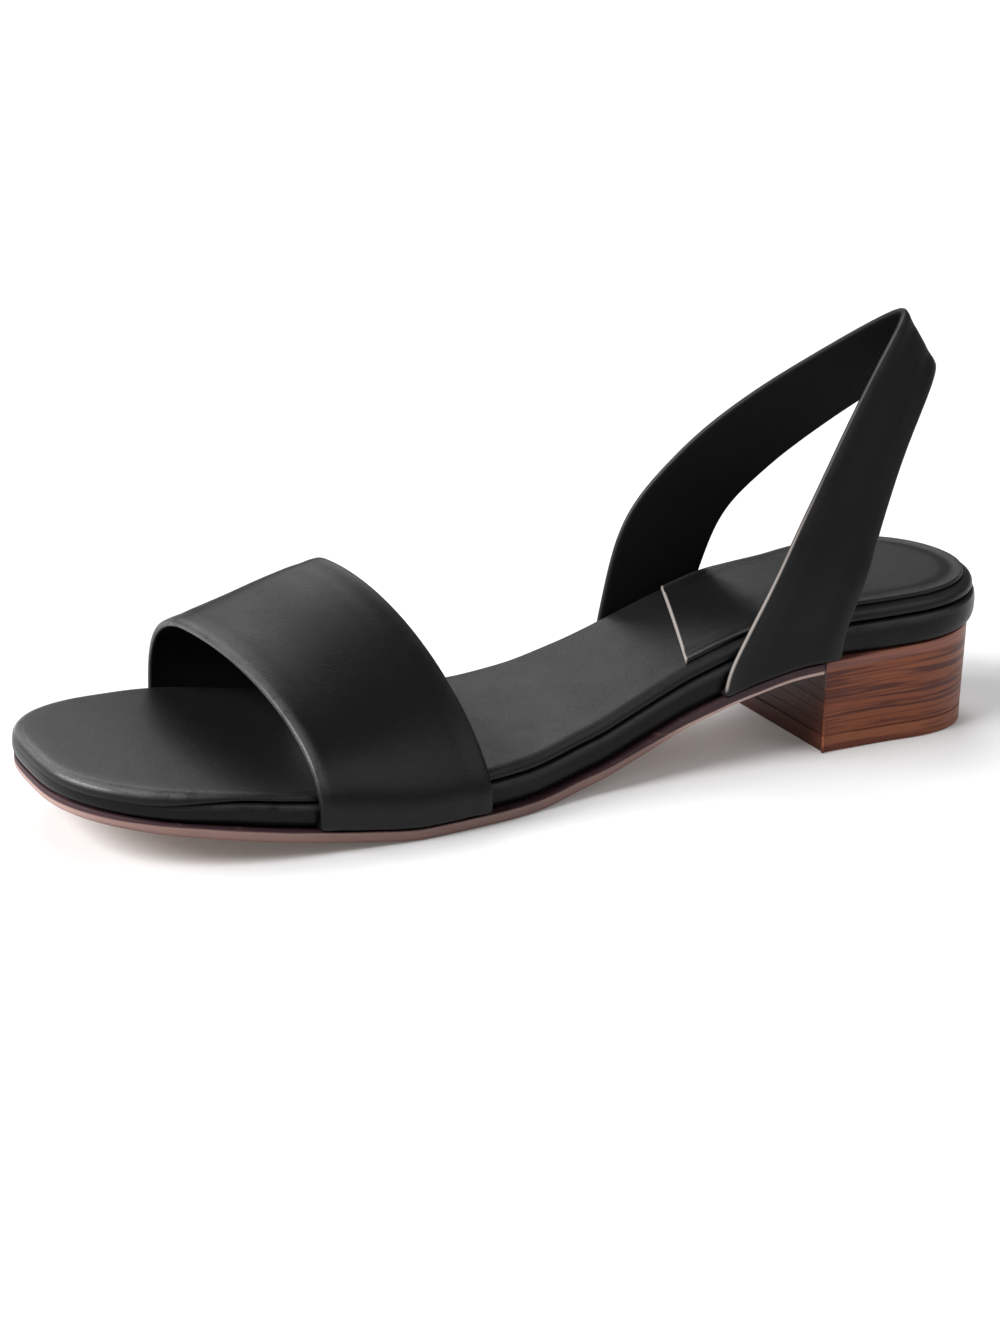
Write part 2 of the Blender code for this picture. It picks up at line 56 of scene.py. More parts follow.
# %% Camera
CAMERA_TARGET = Vector((0.10304, 0.00237, 0.02516))
CAMERA_TURN = math.radians(25.76)
CAMERA_HIGH = math.radians(17.937)
CAMERA_ROLL = math.radians(0.933)
CAMERA_AWAY = 0.7413
FOCAL_PIXELS = 3039.8
PICTURE_HIGH = 1326
SENSOR = 36.0


def camera_axes(turn, high, roll):
    """Right, up and backward directions of a camera that looks at its target.

    Backward is (sin turn cos high, cos turn cos high, sin high). Right and up are square to
    it, then turned by the roll: right' = right cos + up sin, up' = up cos - right sin.
    """
    backward = Vector((math.sin(turn) * math.cos(high), math.cos(turn) * math.cos(high),
                       math.sin(high)))
    right = (-backward).cross(Vector((0, 0, 1))).normalized()
    up = right.cross(-backward)
    rolled = right * math.cos(roll) + up * math.sin(roll)
    upright = up * math.cos(roll) - right * math.sin(roll)
    return rolled, upright, backward


right, up, backward = camera_axes(CAMERA_TURN, CAMERA_HIGH, CAMERA_ROLL)
camera_data = bpy.data.cameras.new("camera")
camera_data.sensor_width = SENSOR
camera_data.lens = FOCAL_PIXELS * SENSOR / PICTURE_HIGH
camera_data.clip_start = 0.05
camera_data.clip_end = 40.0
camera = bpy.data.objects.new("camera", camera_data)
bpy.context.scene.collection.objects.link(camera)
camera.location = CAMERA_TARGET + backward * CAMERA_AWAY
camera.rotation_mode = "QUATERNION"
camera.rotation_quaternion = Matrix((right, up, backward)).transposed().to_quaternion()
bpy.context.scene.camera = camera
print("camera at", [round(v, 4) for v in camera.location], "lens", round(camera_data.lens, 2))

# %% [markdown]
# ## From a grid of points to a piece
# Every piece below is a grid: rows go along one direction, columns along the other. The grid
# becomes a mesh with one four-sided face between neighbouring points. Rows that shrink to a
# line are merged, so the piece is closed, and all faces are turned outwards.

# %% Mesh helper


def grid_faces(rows, columns, wrap):
    """Corner numbers of the faces of a grid. With wrap, the last column meets the first."""
    spot = np.arange(rows * columns).reshape(rows, columns)
    here = spot if wrap else spot[:, :-1]
    ahead = np.roll(spot, -1, axis=1) if wrap else spot[:, 1:]
    quads = np.stack([here[:-1], ahead[:-1], ahead[1:], here[1:]], axis=-1)
    return quads.reshape(-1, 4)


SHARP_FROM = math.radians(38)


def add_piece(name, grid, material, masks, ends=False):
    """Make a piece from a grid of points of shape (rows, columns, 3), closed along its rows.

    Masks are numbers per point that the materials read by name. With ends, the first and the
    last row are closed by a face each. Edges sharper than SHARP_FROM stay sharp.
    """
    rows, columns = grid.shape[:2]
    faces = grid_faces(rows, columns, True).tolist()
    if ends:
        faces.append(list(range(columns)))
        faces.append(list(range((rows - 1) * columns, rows * columns)))
    mesh = bpy.data.meshes.new(name)
    mesh.from_pydata(grid.reshape(-1, 3).tolist(), [], faces)
    for label, values in masks.items():
        layer = mesh.attributes.new(label, "FLOAT", "POINT")
        layer.data.foreach_set("value", np.broadcast_to(values, grid.shape[:2]).ravel())
    work = bmesh.new()
    work.from_mesh(mesh)
    bmesh.ops.remove_doubles(work, verts=work.verts, dist=2e-6)
    bmesh.ops.dissolve_degenerate(work, edges=work.edges, dist=1e-7)
    bmesh.ops.recalc_face_normals(work, faces=work.faces)
    work.to_mesh(mesh)
    work.free()
    mesh.shade_smooth()
    mesh.set_sharp_from_angle(angle=SHARP_FROM)
    mesh.materials.append(material)
    piece = bpy.data.objects.new(name, mesh)
    bpy.context.scene.collection.objects.link(piece)
    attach(piece, "root")
    print(name, len(mesh.vertices), "points", len(mesh.polygons), "faces")
    return piece


# %% [markdown]
# ## The sole's lines
# A shoe is built on a last, and every piece of the bottom follows the last's outline. The
# half widths are given at a few stations along the sole and read through a smooth curve that
# doesn't overshoot. Both ends are closed by round caps. The seat is the side line: high under
# the heel, falling through the waist to the flat forefoot, with a little spring at the toe.

# %% Sizes of the bottom
SOLE_LONG = 0.250
BALL_WIDE = 0.088
HEEL_CAP = 0.0285
TOE_CAP = {"outer": (0.0435, 3.1), "inner": (0.0515, 2.8)}
SIDE_SIGN = {"outer": 1.0, "inner": -1.0}
SEAT_HIGH = 0.0248
TOE_SPRING = 0.0112
OUTSOLE_THICK = 0.0028
FOOTBED_HEEL = 0.0118
FOOTBED_BALL = 0.0092
FOOTBED_TOE = 0.0066
WALL_ROUND = 0.0016
SHOULDER_WIDE = 0.0070
HEEL_LONG = 0.0545
STRAP_THICK = 0.0018
GAP = 0.0003
SIDE_GAP = 0.0004

SOLE_PLAN = {
    "along": (0.00, 0.12, 0.24, 0.36, 0.48, 0.60, 0.70, 0.80, 0.90, 1.00),
    "outer": (0.336, 0.303, 0.318, 0.315, 0.360, 0.450, 0.483, 0.480, 0.449, 0.395),
    "inner": (0.385, 0.354, 0.300, 0.268, 0.319, 0.418, 0.498, 0.534, 0.477, 0.423),
}
SEAT_RISE = {
    "along": (0.00, 0.12, 0.24, 0.30, 0.36, 0.42, 0.48, 0.56, 1.00),
    "share": (1.10, 0.995, 0.935, 0.800, 0.590, 0.340, 0.130, 0.000, 0.000),
}
TOE_RISE = {
    "along": (0.00, 0.67, 0.74, 0.80, 0.86, 0.93, 1.00),
    "share": (0.000, 0.000, 0.150, 0.340, 0.550, 0.780, 1.000),
}
SIDE_STAND = {
    "along": (0.00, 0.06, 0.14, 0.19, 0.85, 0.92, 1.00),
    "share": (-0.90, -0.60, 0.10, 1.00, 1.00, 0.25, -0.30),
}
WALL_RISE = {
    "along": (0.00, 0.45, 0.82, 0.92, 1.00),
    "share": (0.68, 0.68, 0.74, 0.79, 0.80),
}

# %% Curves of the bottom


def flow(rows, values, at):
    """Smooth curve without overshoot through the rows.

    Each span is a cubic whose end slopes are harmonic means of the neighbouring slopes, and
    level where the curve turns round.
    """
    rows = np.asarray(rows, float)
    values = np.asarray(values, float)
    at = np.clip(np.asarray(at, float), rows[0], rows[-1])
    step = np.diff(rows)
    slope = np.diff(values) / step
    lean = np.zeros(len(rows))
    lean[0] = slope[0]
    lean[-1] = slope[-1]
    same = slope[:-1] * slope[1:] > 0
    first = 2 * step[1:] + step[:-1]
    second = step[1:] + 2 * step[:-1]
    safe_low = np.where(same, slope[:-1], 1.0)
    safe_high = np.where(same, slope[1:], 1.0)
    lean[1:-1] = np.where(same, (first + second) / (first / safe_low + second / safe_high), 0.0)
    spot = np.clip(np.searchsorted(rows, at, side="right") - 1, 0, len(step) - 1)
    share = (at - rows[spot]) / step[spot]
    rest = 1.0 - share
    start = values[spot] * (1 + 2 * share) * rest ** 2
    end = values[spot + 1] * share ** 2 * (3 - 2 * share)
    bend = step[spot] * share * rest * (lean[spot] * rest - lean[spot + 1] * share)
    return start + end + bend


def table(columns, name, at):
    """Read one named column of a table at the given places along."""
    return flow(columns["along"], columns[name], at)


def ease(low, high, at):
    """0 below low, 1 above high, and 3t^2 - 2t^3 between them."""
    share = np.clip((np.asarray(at, float) - low) / (high - low), 0, 1)
    return share ** 2 * (3 - 2 * share)


def bell(at, middle, wide):
    """1 at the middle, fading on both sides as exp(-((at - middle) / wide)^2)."""
    return np.exp(-((np.asarray(at) - middle) / wide) ** 2)


def seat(station):
    """Height of the outsole's top: its thickness, the rise to the heel and the toe spring."""
    along = np.asarray(station) / SOLE_LONG
    rise = table(SEAT_RISE, "share", along) * (SEAT_HIGH - OUTSOLE_THICK)
    spring = table(TOE_RISE, "share", along) * TOE_SPRING
    return OUTSOLE_THICK + rise + spring


def footbed_thick(station):
    """Thickness of the footbed, wall and cushion together."""
    along = np.asarray(station) / SOLE_LONG
    return flow((0.0, 0.26, 0.68, 1.0),
                (FOOTBED_HEEL, FOOTBED_HEEL, FOOTBED_BALL, FOOTBED_TOE), along)


def wall_top(station):
    """Height of the side wall's top over the seat: its share of the footbed's thickness."""
    share = table(WALL_RISE, "share", np.asarray(station) / SOLE_LONG)
    return share * footbed_thick(station)


def half_width(side, station):
    """Half width of the sole: the table's width times two caps.

    The heel cap is a circle's arc, the toe cap (1 - t^p)^(1/p) with p about 3, which gives
    the squarish toe.
    """
    station = np.asarray(station, float)
    width = table(SOLE_PLAN, side, station / SOLE_LONG) * BALL_WIDE
    heel = np.clip(1 - station / HEEL_CAP, 0, 1)
    width = width * np.sqrt(1 - heel ** 2)
    cap, power = TOE_CAP[side]
    toe = np.clip((station - (SOLE_LONG - cap)) / cap, 0, 1)
    return width * (1 - toe ** power) ** (1 / power)


def middle_line(station):
    """Sideways place of the middle between both edges."""
    return (half_width("outer", station) - half_width("inner", station)) / 2


ORIGIN_SIDE = float(middle_line(HEEL_LONG / 2))


def placed(station, side, height):
    """Stations, sideways places and heights as points of the sandal's frame."""
    station, side, height = np.broadcast_arrays(station, side, height)
    return np.stack([station - HEEL_LONG / 2, side - ORIGIN_SIDE, height], axis=-1)


def side_inset(station):
    """Inset of the wall's widest line from the sole's edge."""
    share = table(SIDE_STAND, "share", np.asarray(station) / SOLE_LONG)
    return share * (STRAP_THICK / 2 + SIDE_GAP)


print("seat at heel, waist, ball:", np.round(seat([0.02, 0.10, 0.16]) * 1000, 2), "mm")

# %% [markdown]
# ## Rings round the sole
# Wall, cushion, sock, outsole and heel are all stacks of rings. A ring is the outline moved
# inwards by a small inset. To close the top, the last ring is drawn in to a centre line.
# Points are numbered so that each point on the outer side has a partner on the inner side,
# and both are drawn to the same centre point. A core is the stretch of stations in which the
# centre points lie.

# %% Outline and rings
DENSE = 1500


def dense_side(side):
    """Plan points of one side from the heel's tip to the toe's tip, closer at both tips.

    Station = length (1 - cos turn) / 2, with the turn going evenly from 0 to pi.
    """
    turn = np.linspace(0, math.pi, DENSE)
    station = SOLE_LONG * (1 - np.cos(turn)) / 2
    return np.stack([station, SIDE_SIGN[side] * half_width(side, station)], axis=-1)


def running(points):
    """Running length along a line of points."""
    return np.concatenate([[0.0], np.cumsum(np.linalg.norm(np.diff(points, axis=0), axis=1))])


SIDE_POINTS = {side: dense_side(side) for side in SIDE_SIGN}
SIDE_RUN = {side: running(points) for side, points in SIDE_POINTS.items()}


def along_side(side, start, end, count):
    """Points spaced evenly along one side between two stations."""
    points, run = SIDE_POINTS[side], SIDE_RUN[side]
    ends = np.interp([start, end], points[:, 0], run)
    at = np.linspace(ends[0], ends[1], count)
    return np.stack([np.interp(at, run, points[:, axis]) for axis in (0, 1)], axis=-1)


def closed_loop(tip, end_outer, end_inner, count, chord):
    """Closed outline that starts at a tip, with a straight line across at the other end.

    With chord 0 the two sides meet in the other tip instead.
    """
    outer = along_side("outer", tip, end_outer, count + 1)
    inner = along_side("inner", end_inner, tip, count + 1)
    if chord == 0:
        return np.concatenate([outer, inner[1:-1]])
    share = np.linspace(0, 1, chord + 1)[1:-1, None]
    across = outer[-1] * (1 - share) + inner[0] * share
    return np.concatenate([outer, across, inner[:-1]])


def inward(loop):
    """Unit directions from a loop's points to its inside, square to the neighbours' line."""
    along = np.roll(loop, -1, axis=0) - np.roll(loop, 1, axis=0)
    along /= np.linalg.norm(along, axis=1)[:, None]
    lean = np.stack([along[:, 1], -along[:, 0]], axis=-1)
    middle = loop.mean(axis=0)
    facing = np.sign(np.sum(lean * (middle - loop)))
    return lean * facing


def inset_rings(loop, insets):
    """Rings of shape (insets, points, 2): each point moved inwards by its inset."""
    return loop[None] + inward(loop)[None] * np.asarray(insets)[..., None]


def drawn_in(ring, shares, low, high):
    """Rings between a ring, at share 0, and its centre line, at share 1.

    The centre of a point lies midway to its partner, kept between two stations and put on
    the middle line.
    """
    partner = np.roll(ring[::-1], 1, axis=0)
    station = np.clip((ring[:, 0] + partner[:, 0]) / 2, low, high)
    centre = np.stack([station, middle_line(station)], axis=-1)
    shares = np.asarray(shares)[:, None, None]
    return ring[None] * (1 - shares) + centre[None] * shares


def closed_rings(rings, below, above, low, high):
    """Rings closed below and above, each time by rings drawn in at the given shares."""
    return np.concatenate([drawn_in(rings[0], below, low, high)[::-1], rings,
                           drawn_in(rings[-1], above, low, high)])


def section(insets, lifts, count):
    """Round off a section of a few points to many, with one smooth curve for each direction."""
    corners = np.stack([insets, lifts], axis=-1)
    run = running(corners)
    at = np.linspace(0, run[-1], count)
    return flow(run, insets, at), flow(run, lifts, at)


WHOLE = closed_loop(0.0, SOLE_LONG, SOLE_LONG, 260, 0)
WHOLE_LEAN = inward(WHOLE)
WHOLE_SIDE = WHOLE + WHOLE_LEAN * side_inset(WHOLE[:, 0])[:, None]
FOOTBED_CORE = (0.030, 0.212)
print("outline", len(WHOLE), "points round,", round(float(SIDE_RUN["outer"][-1] * 1000), 1), "mm a side")

# %% [markdown]
# ## Writing a material as sums
# A finish is a sum of patterns: fine grain, broad cloudiness, wear on the edges. The small
# class below wraps a shader socket, so that plus, minus and times in Python add the nodes.

# %% Shader helper


class Value:
    """One output socket. Sums on it add Math nodes to its material."""

    def __init__(self, paint, socket):
        self.paint = paint
        self.socket = socket

    def math(self, operation, first, second):
        """One Math node on two values."""
        return self.paint.node("ShaderNodeMath", {"operation": operation}, {0: first, 1: second})

    def __add__(self, other):
        return self.math("ADD", self, other)

    def __radd__(self, other):
        return self.math("ADD", other, self)

    def __sub__(self, other):
        return self.math("SUBTRACT", self, other)

    def __rsub__(self, other):
        return self.math("SUBTRACT", other, self)

    def __mul__(self, other):
        return self.math("MULTIPLY", self, other)

    def __rmul__(self, other):
        return self.math("MULTIPLY", other, self)


class Paint:
    """One material and its nodes."""

    def __init__(self, name):
        self.material = bpy.data.materials.new(name)
        self.material.use_nodes = True
        self.tree = self.material.node_tree
        self.shader = self.tree.nodes["Principled BSDF"]

    def node(self, kind, settings=None, sockets=None, output=0):
        """Add a node, first its settings, then the values or links of its sockets."""
        made = self.tree.nodes.new(kind)
        for key, setting in (settings or {}).items():
            setattr(made, key, setting)
        for key, given in (sockets or {}).items():
            if isinstance(given, Value):
                self.tree.links.new(given.socket, made.inputs[key])
            else:
                made.inputs[key].default_value = given
        return Value(self, made.outputs[output])

    def place(self, scale=(1.0, 1.0, 1.0)):
        """Object coordinates, stretched by a scale in each direction."""
        spot = self.node("ShaderNodeTexCoord", output=3)
        return self.node("ShaderNodeMapping", {}, {"Vector": spot, "Scale": scale})

    def noise(self, where, scale, detail=3.0, rough=0.5):
        """Cloudy noise from 0 to 1, with the scale in clouds per metre."""
        return self.node("ShaderNodeTexNoise", {"noise_dimensions": "3D"},
                         {"Vector": where, "Scale": scale, "Detail": detail, "Roughness": rough})

    def cells(self, where, scale):
        """Distance to the nearest border of irregular cells, as between pebbles."""
        return self.node("ShaderNodeTexVoronoi", {"feature": "DISTANCE_TO_EDGE"},
                         {"Vector": where, "Scale": scale})

    def step(self, value, low, high):
        """Soft step from 0 at low to 1 at high."""
        return self.node("ShaderNodeMapRange", {"interpolation_type": "SMOOTHSTEP"},
                         {"Value": value, "From Min": low, "From Max": high})

    def mask(self, name):
        """A piece's own number per point, by its name."""
        return self.node("ShaderNodeAttribute", {"attribute_name": name}, output=2)

    def mix(self, share, first, second):
        """Colour between two colours."""
        return self.node("ShaderNodeMix", {"data_type": "RGBA"},
                         {0: share, 6: first, 7: second}, output=2)

    def finish(self, color, rough, height, **fixed):
        """Link colour, roughness and a height in metres to the shader, and set fixed values."""
        normal = self.node("ShaderNodeBump", {}, {"Strength": 1.0, "Distance": 1.0,
                                                  "Height": height})
        self.tree.links.new(color.socket, self.shader.inputs["Base Color"])
        self.tree.links.new(rough.socket, self.shader.inputs["Roughness"])
        self.tree.links.new(normal.socket, self.shader.inputs["Normal"])
        for key, value in fixed.items():
            self.shader.inputs[key.replace("_", " ")].default_value = value
        return self.material


# %% [markdown]
# ## Smooth black leather
# The band, the strap, the wall, the cushion and the heel sock are smooth dyed leather. Close up it has a net
# of shallow valleys less than a millimetre apart and tiny pores. Its finish is a thin film
# that lies unevenly, so the gloss changes softly from place to place. Where a hand or a foot
# rubs, on turned edges and rolls, the film is polished and a little paler, and there the
# colour is also painted paler still, as a painted highlight.

# %% Leather material


def leather(name, color, rough, grain, depth, cloud, sheen_and_wear_color=(0.06, 0.06, 0.062), level=0.22,
            polish=0.08, edge=None, lining=None):
    """Smooth leather. The grain is the cells' size and depth its valleys' depth, in metres.

    Colour is the base colour, clouded, then paler by the wear and sheen mask, which is real
    wear and a painted highlight. Roughness is rough plus clouds minus wear. Height = depth
    (valleys + 0.3 pores) + cloud x broad noise.
    """
    paint = Paint(name)
    where = paint.place()
    valleys = paint.step(paint.cells(where, 1.0 / grain), 0.0, 0.16)
    pores = paint.noise(where, 3.5 / grain, 2.0)
    broad = paint.noise(where, 38.0, 3.0, 0.55)
    patch = paint.noise(where, 120.0, 4.0, 0.6)
    wear_and_sheen = paint.mask("wear_and_sheen") * paint.step(patch, 0.20, 0.50)
    dark = tuple(0.72 * value for value in color)
    base = paint.mix(broad, (*dark, 1.0), (*color, 1.0))
    # painted highlight: the wear and sheen mask makes rolls and edges paler, partly real wear
    base = paint.mix(wear_and_sheen * 0.55, base, (*sheen_and_wear_color, 1.0))
    base = paint.mix((1.0 - valleys) * 0.35, base, (*dark, 1.0))
    gloss = rough + (patch - 0.5) * 0.14 + (1.0 - valleys) * 0.07 - wear_and_sheen * polish
    height = (valleys + pores * 0.3) * depth + broad * cloud
    if lining is not None:
        inside = paint.step(paint.mask("lining"), 0.4, 0.6)
        base = paint.mix(inside, base, (*lining, 1.0))
        gloss = gloss + inside * 0.25
    if edge is not None:
        fibre = paint.noise(where, 2600.0, 3.0, 0.7)
        cut = paint.step(paint.mask("cut"), 0.10, 0.90)
        raw = paint.mix(fibre, (*(0.62 * value for value in edge), 1.0), (*edge, 1.0))
        base = paint.mix(cut, base, raw)
        gloss = gloss + cut * 0.3
        height = height + cut * fibre * 0.00005
    return paint.finish(base, gloss, height, Specular_IOR_Level=level)


STRAP_GRAIN = 0.00085
SOLE_GRAIN = 0.00075
STRAP_BLACK = (0.0044, 0.0044, 0.0047)
SLING_BLACK = (0.0044, 0.0046, 0.0055)
WALL_BLACK = (0.0046, 0.0043, 0.0048)
SOCK_BLACK = (0.0075, 0.0075, 0.0078)
LINING = (0.004, 0.004, 0.004)
RAW_EDGE = (0.29, 0.255, 0.235)
BAND_LEATHER = leather("band_leather", STRAP_BLACK, 0.32, STRAP_GRAIN, 0.000016, 0.00010,
                       sheen_and_wear_color=(0.12, 0.12, 0.122), lining=LINING)
SLING_LEATHER = leather("sling_leather", SLING_BLACK, 0.42, STRAP_GRAIN, 0.000016, 0.00008,
                        level=0.18, edge=RAW_EDGE, lining=LINING)
WALL_LEATHER = leather("wall_leather", WALL_BLACK, 0.30, SOLE_GRAIN, 0.000012, 0.00006,
                       level=0.13)
CUSHION_LEATHER = leather("cushion_leather", SOCK_BLACK, 0.38, SOLE_GRAIN, 0.000014, 0.00008,
                          sheen_and_wear_color=(0.20, 0.20, 0.202), level=0.215, polish=0.34)
SOCK_LEATHER = leather("heel_sock_leather", SOCK_BLACK, 0.34, SOLE_GRAIN, 0.000014, 0.00008,
                       edge=RAW_EDGE)
print("five leathers, grain", STRAP_GRAIN, "and", SOLE_GRAIN, "m")

# %% [markdown]
# ## The outsole
# A thin leather outsole runs from the toe to the front of the heel. Its cut edge shows all
# round as a thin pinkish tan line, sanded and waxed, paler at the top and darker along the
# floor, where the dark line is painted shade. In the waist and a little at the toe its upper
# part is darkened, by a share that a table gives along the sole; at the toe this is painted
# shade. The underside is buffed leather. The shape is a stack of rings whose edge is slightly rounded.

# %% Outsole
OUTSOLE_ROUND = 0.0006
OUTSOLE_CORE = (0.075, 0.205)
EDGE_DARKENING = {
    "along": (0.216, 0.280, 0.340, 0.412, 0.512, 0.860, 1.000),
    "share": (0.62, 0.66, 0.62, 0.36, 0.08, 0.10, 0.46),
}


def outsole_material():
    """Cut leather edge in three tones by height within the sole, with fine fibres along it.

    The darkening mask darkens the edge where height share + darkening share + noise passes 0.9 to 1.06. At
    the toe this darkening is painted shade, and the dark tone along the floor is painted shade too.
    """
    paint = Paint("outsole_leather")
    where = paint.place()
    fibres = paint.noise(paint.place((90.0, 90.0, 2600.0)), 1.0, 3.0, 0.6)
    broad = paint.noise(where, 70.0, 3.0, 0.6)
    level = paint.mask("level")
    base = paint.mix(broad, (0.19, 0.112, 0.098, 1.0), (0.26, 0.165, 0.143, 1.0))
    base = paint.mix(paint.step(level, 0.50, 0.90) * 0.5, base, (0.30, 0.20, 0.17, 1.0))
    # painted shade: the lowest part of the edge, along the floor, is darker
    base = paint.mix((1.0 - paint.step(level, 0.10, 0.40)) * 0.75, base, (0.15, 0.080, 0.072, 1.0))
    # Where the upper part is darkened, the edge below is first made paler; then the upper part is darkened
    # by the table's share, which at the toe is painted shade.
    upper_darkening_mask = paint.mask("upper_darkening")
    base = paint.mix(paint.step(upper_darkening_mask, 0.30, 0.60), base, (0.44, 0.31, 0.28, 1.0))
    dark = paint.step(level + upper_darkening_mask + (broad - 0.5) * 0.12, 0.90, 1.06)
    base = paint.mix(dark * 0.95, base, (0.026, 0.010, 0.015, 1.0))
    base = paint.mix(paint.step(fibres, 0.55, 0.75) * 0.3, base, (0.22, 0.12, 0.10, 1.0))
    rub = paint.noise(paint.place((60.0, 400.0, 60.0)), 1.0, 4.0, 0.65)
    under = paint.step(paint.mask("under"), 0.4, 0.6)
    buffed = paint.mix(rub, (0.30, 0.19, 0.13, 1.0), (0.40, 0.27, 0.19, 1.0))
    base = paint.mix(under, base, buffed)
    gloss = 0.50 + broad * 0.14 + under * 0.10
    height = fibres * 0.00003 + rub * under * 0.00004
    return paint.finish(base, gloss, height, Specular_IOR_Level=0.2)


outsole_loop = closed_loop(SOLE_LONG, HEEL_LONG + GAP, HEEL_LONG + GAP, 220, 60)
edge_turn = np.linspace(0, math.pi / 2, 6)
edge_inset = OUTSOLE_ROUND * (1 - np.sin(edge_turn))
edge_lift = OUTSOLE_ROUND * (1 - np.cos(edge_turn))
side_insets = np.concatenate([edge_inset, np.zeros(7), edge_inset[::-1] * 0.4])
upright = np.linspace(OUTSOLE_ROUND, OUTSOLE_THICK - OUTSOLE_ROUND * 0.4, 9)[1:-1]
side_lifts = np.concatenate([edge_lift, upright, OUTSOLE_THICK - edge_lift[::-1] * 0.4])
rings = inset_rings(outsole_loop, side_insets[:, None])
shares = np.linspace(0, 1, 15)[1:]
plan = closed_rings(rings, shares, shares, *OUTSOLE_CORE)
lift = np.concatenate([np.zeros(len(shares)), side_lifts, np.full(len(shares), OUTSOLE_THICK)])
lift = lift[:, None]
height = seat(plan[..., 0]) - OUTSOLE_THICK + lift
masks = {"level": lift / OUTSOLE_THICK, "under": (lift < 1e-5).astype(float),
         "upper_darkening": table(EDGE_DARKENING, "share", plan[..., 0] / SOLE_LONG)}
outsole = add_piece("outsole_leather_piece", placed(plan[..., 0], plan[..., 1], height),
                    outsole_material(), masks)
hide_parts("outsole")

# %% [markdown]
# ## The stacked heel
# A stacked heel is built up from thin layers of sole leather, glued, cut to shape and
# polished. The layers show on the sides as lines, with dark streaks along each layer, because
# every layer takes the dye differently. The shape is a stack of rings. The layers are a
# pattern on a height share that follows the seat, so that the top layer stays even.

# %% Stacked heel
HEEL_INSET = 0.0005
HEEL_TAPER = 0.0006
HEEL_TIP_THICK = 0.0040
LAYERS = 6.5
BLOCK_SIDE = 110
BLOCK_ACROSS = 50
BLOCK_ROWS = 18
BLOCK_TURN = 4
BLOCK_EDGE = 0.00018
BLOCK_CORE = (0.024, 0.034)


def stack_material(name, light, middle, dark, layers, top):
    """Polished stacked leather.

    The whole part of height share x layer count is the layer's number, which picks its tone.
    Streaks and fibres are noise stretched along the layers. The breast is darker, as painted
    shade, and the underside is plain brown rubber with fine specks.
    """
    paint = Paint(name)
    level = paint.mask("level")
    wave = paint.noise(paint.place(), 45.0, 2.0)
    layer = level * layers + (wave - 0.5) * 0.35
    ring = paint.node("ShaderNodeMath", {"operation": "FLOOR"}, {0: layer})
    inside = layer - ring
    tone = paint.node("ShaderNodeTexWhiteNoise", {"noise_dimensions": "1D"}, {"W": ring})
    streak = paint.noise(paint.place((20.0, 20.0, 620.0)), 1.0, 4.0, 0.60)
    fine = paint.noise(paint.place((150.0, 150.0, 5200.0)), 1.0, 3.0, 0.6)
    broad = paint.noise(paint.place((30.0, 30.0, 200.0)), 1.0, 2.0)
    seam = 1.0 - paint.step(inside, 0.02, 0.16)
    base = paint.mix(streak, (*middle, 1.0), (*light, 1.0))
    base = paint.mix(tone * 0.45, base, (*middle, 1.0))
    base = paint.mix(paint.step(streak + (broad - 0.5) * 0.4, 0.47, 0.60) * 0.9, base,
                     (*dark, 1.0))
    base = paint.mix(paint.step(fine, 0.56, 0.72) * 0.35, base, (*dark, 1.0))
    base = paint.mix(seam * 0.55, base, (*dark, 1.0))
    if top is not None:
        base = paint.mix(paint.step(level, 0.86, 0.90) * 0.55, base, (*top, 1.0))
    # painted shade: the breast, which faces under the arch, is darkened
    base = paint.mix(paint.mask("shaded_breast") * 0.80, base, (*(0.45 * value for value in dark), 1.0))
    gloss = 0.34 + streak * 0.14 + seam * 0.15
    height = (1.0 - seam) * 0.00006 + fine * 0.00002 + streak * 0.00002
    speck = paint.noise(paint.place(), 1400.0, 3.0, 0.6)
    under = paint.step(paint.mask("under"), 0.4, 0.6)
    plain = paint.mix(speck, (0.070, 0.034, 0.023, 1.0), (0.105, 0.052, 0.036, 1.0))
    base = paint.mix(under, base, plain)
    gloss = gloss * (1.0 - under) + under * (speck * 0.12 + 0.50)
    height = height * (1.0 - under) + under * speck * 0.00003
    return paint.finish(base, gloss, height, Specular_IOR_Level=0.25)


def block(name, low, high, insets, material, node):
    """Heel piece between two heights, with its edges rounded and its top and bottom closed.

    Low and high are functions of the station, insets the inset at the bottom and at the top.
    """
    loop = closed_loop(0.0, HEEL_LONG, HEEL_LONG, BLOCK_SIDE, BLOCK_ACROSS)
    turn = np.linspace(0, math.pi / 2, BLOCK_TURN)
    rise = BLOCK_EDGE * (1 - np.cos(turn))
    rise = np.concatenate([rise, np.zeros(BLOCK_ROWS), -rise[::-1]])
    inset = BLOCK_EDGE * (1 - np.sin(turn))
    inset = np.concatenate([inset, np.zeros(BLOCK_ROWS), inset[::-1]])
    share = np.concatenate([np.zeros(BLOCK_TURN), np.linspace(0, 1, BLOCK_ROWS + 2)[1:-1],
                            np.ones(BLOCK_TURN)])
    inset = inset + insets[0] * (1 - share) + insets[1] * share
    rings = inset_rings(loop, inset[:, None])
    shares = np.linspace(0, 1, 9)[1:]
    plan = closed_rings(rings, shares, shares, *BLOCK_CORE)
    flat = np.zeros(len(shares))
    share = np.concatenate([flat, share, flat + 1])[:, None]
    station = plan[..., 0]
    height = low(station) * (1 - share) + high(station) * share
    height = height + np.concatenate([flat, rise, flat])[:, None]
    shaded_breast = np.zeros(len(loop))
    shaded_breast[BLOCK_SIDE + 1:BLOCK_SIDE + 1 + BLOCK_ACROSS] = 1.0
    under = (np.arange(len(plan)) <= len(shares)).astype(float)[:, None]
    piece = add_piece(name, placed(station, plan[..., 1], height), material,
                      {"level": share, "under": under, "shaded_breast": shaded_breast * (1 - under)})
    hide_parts(node)


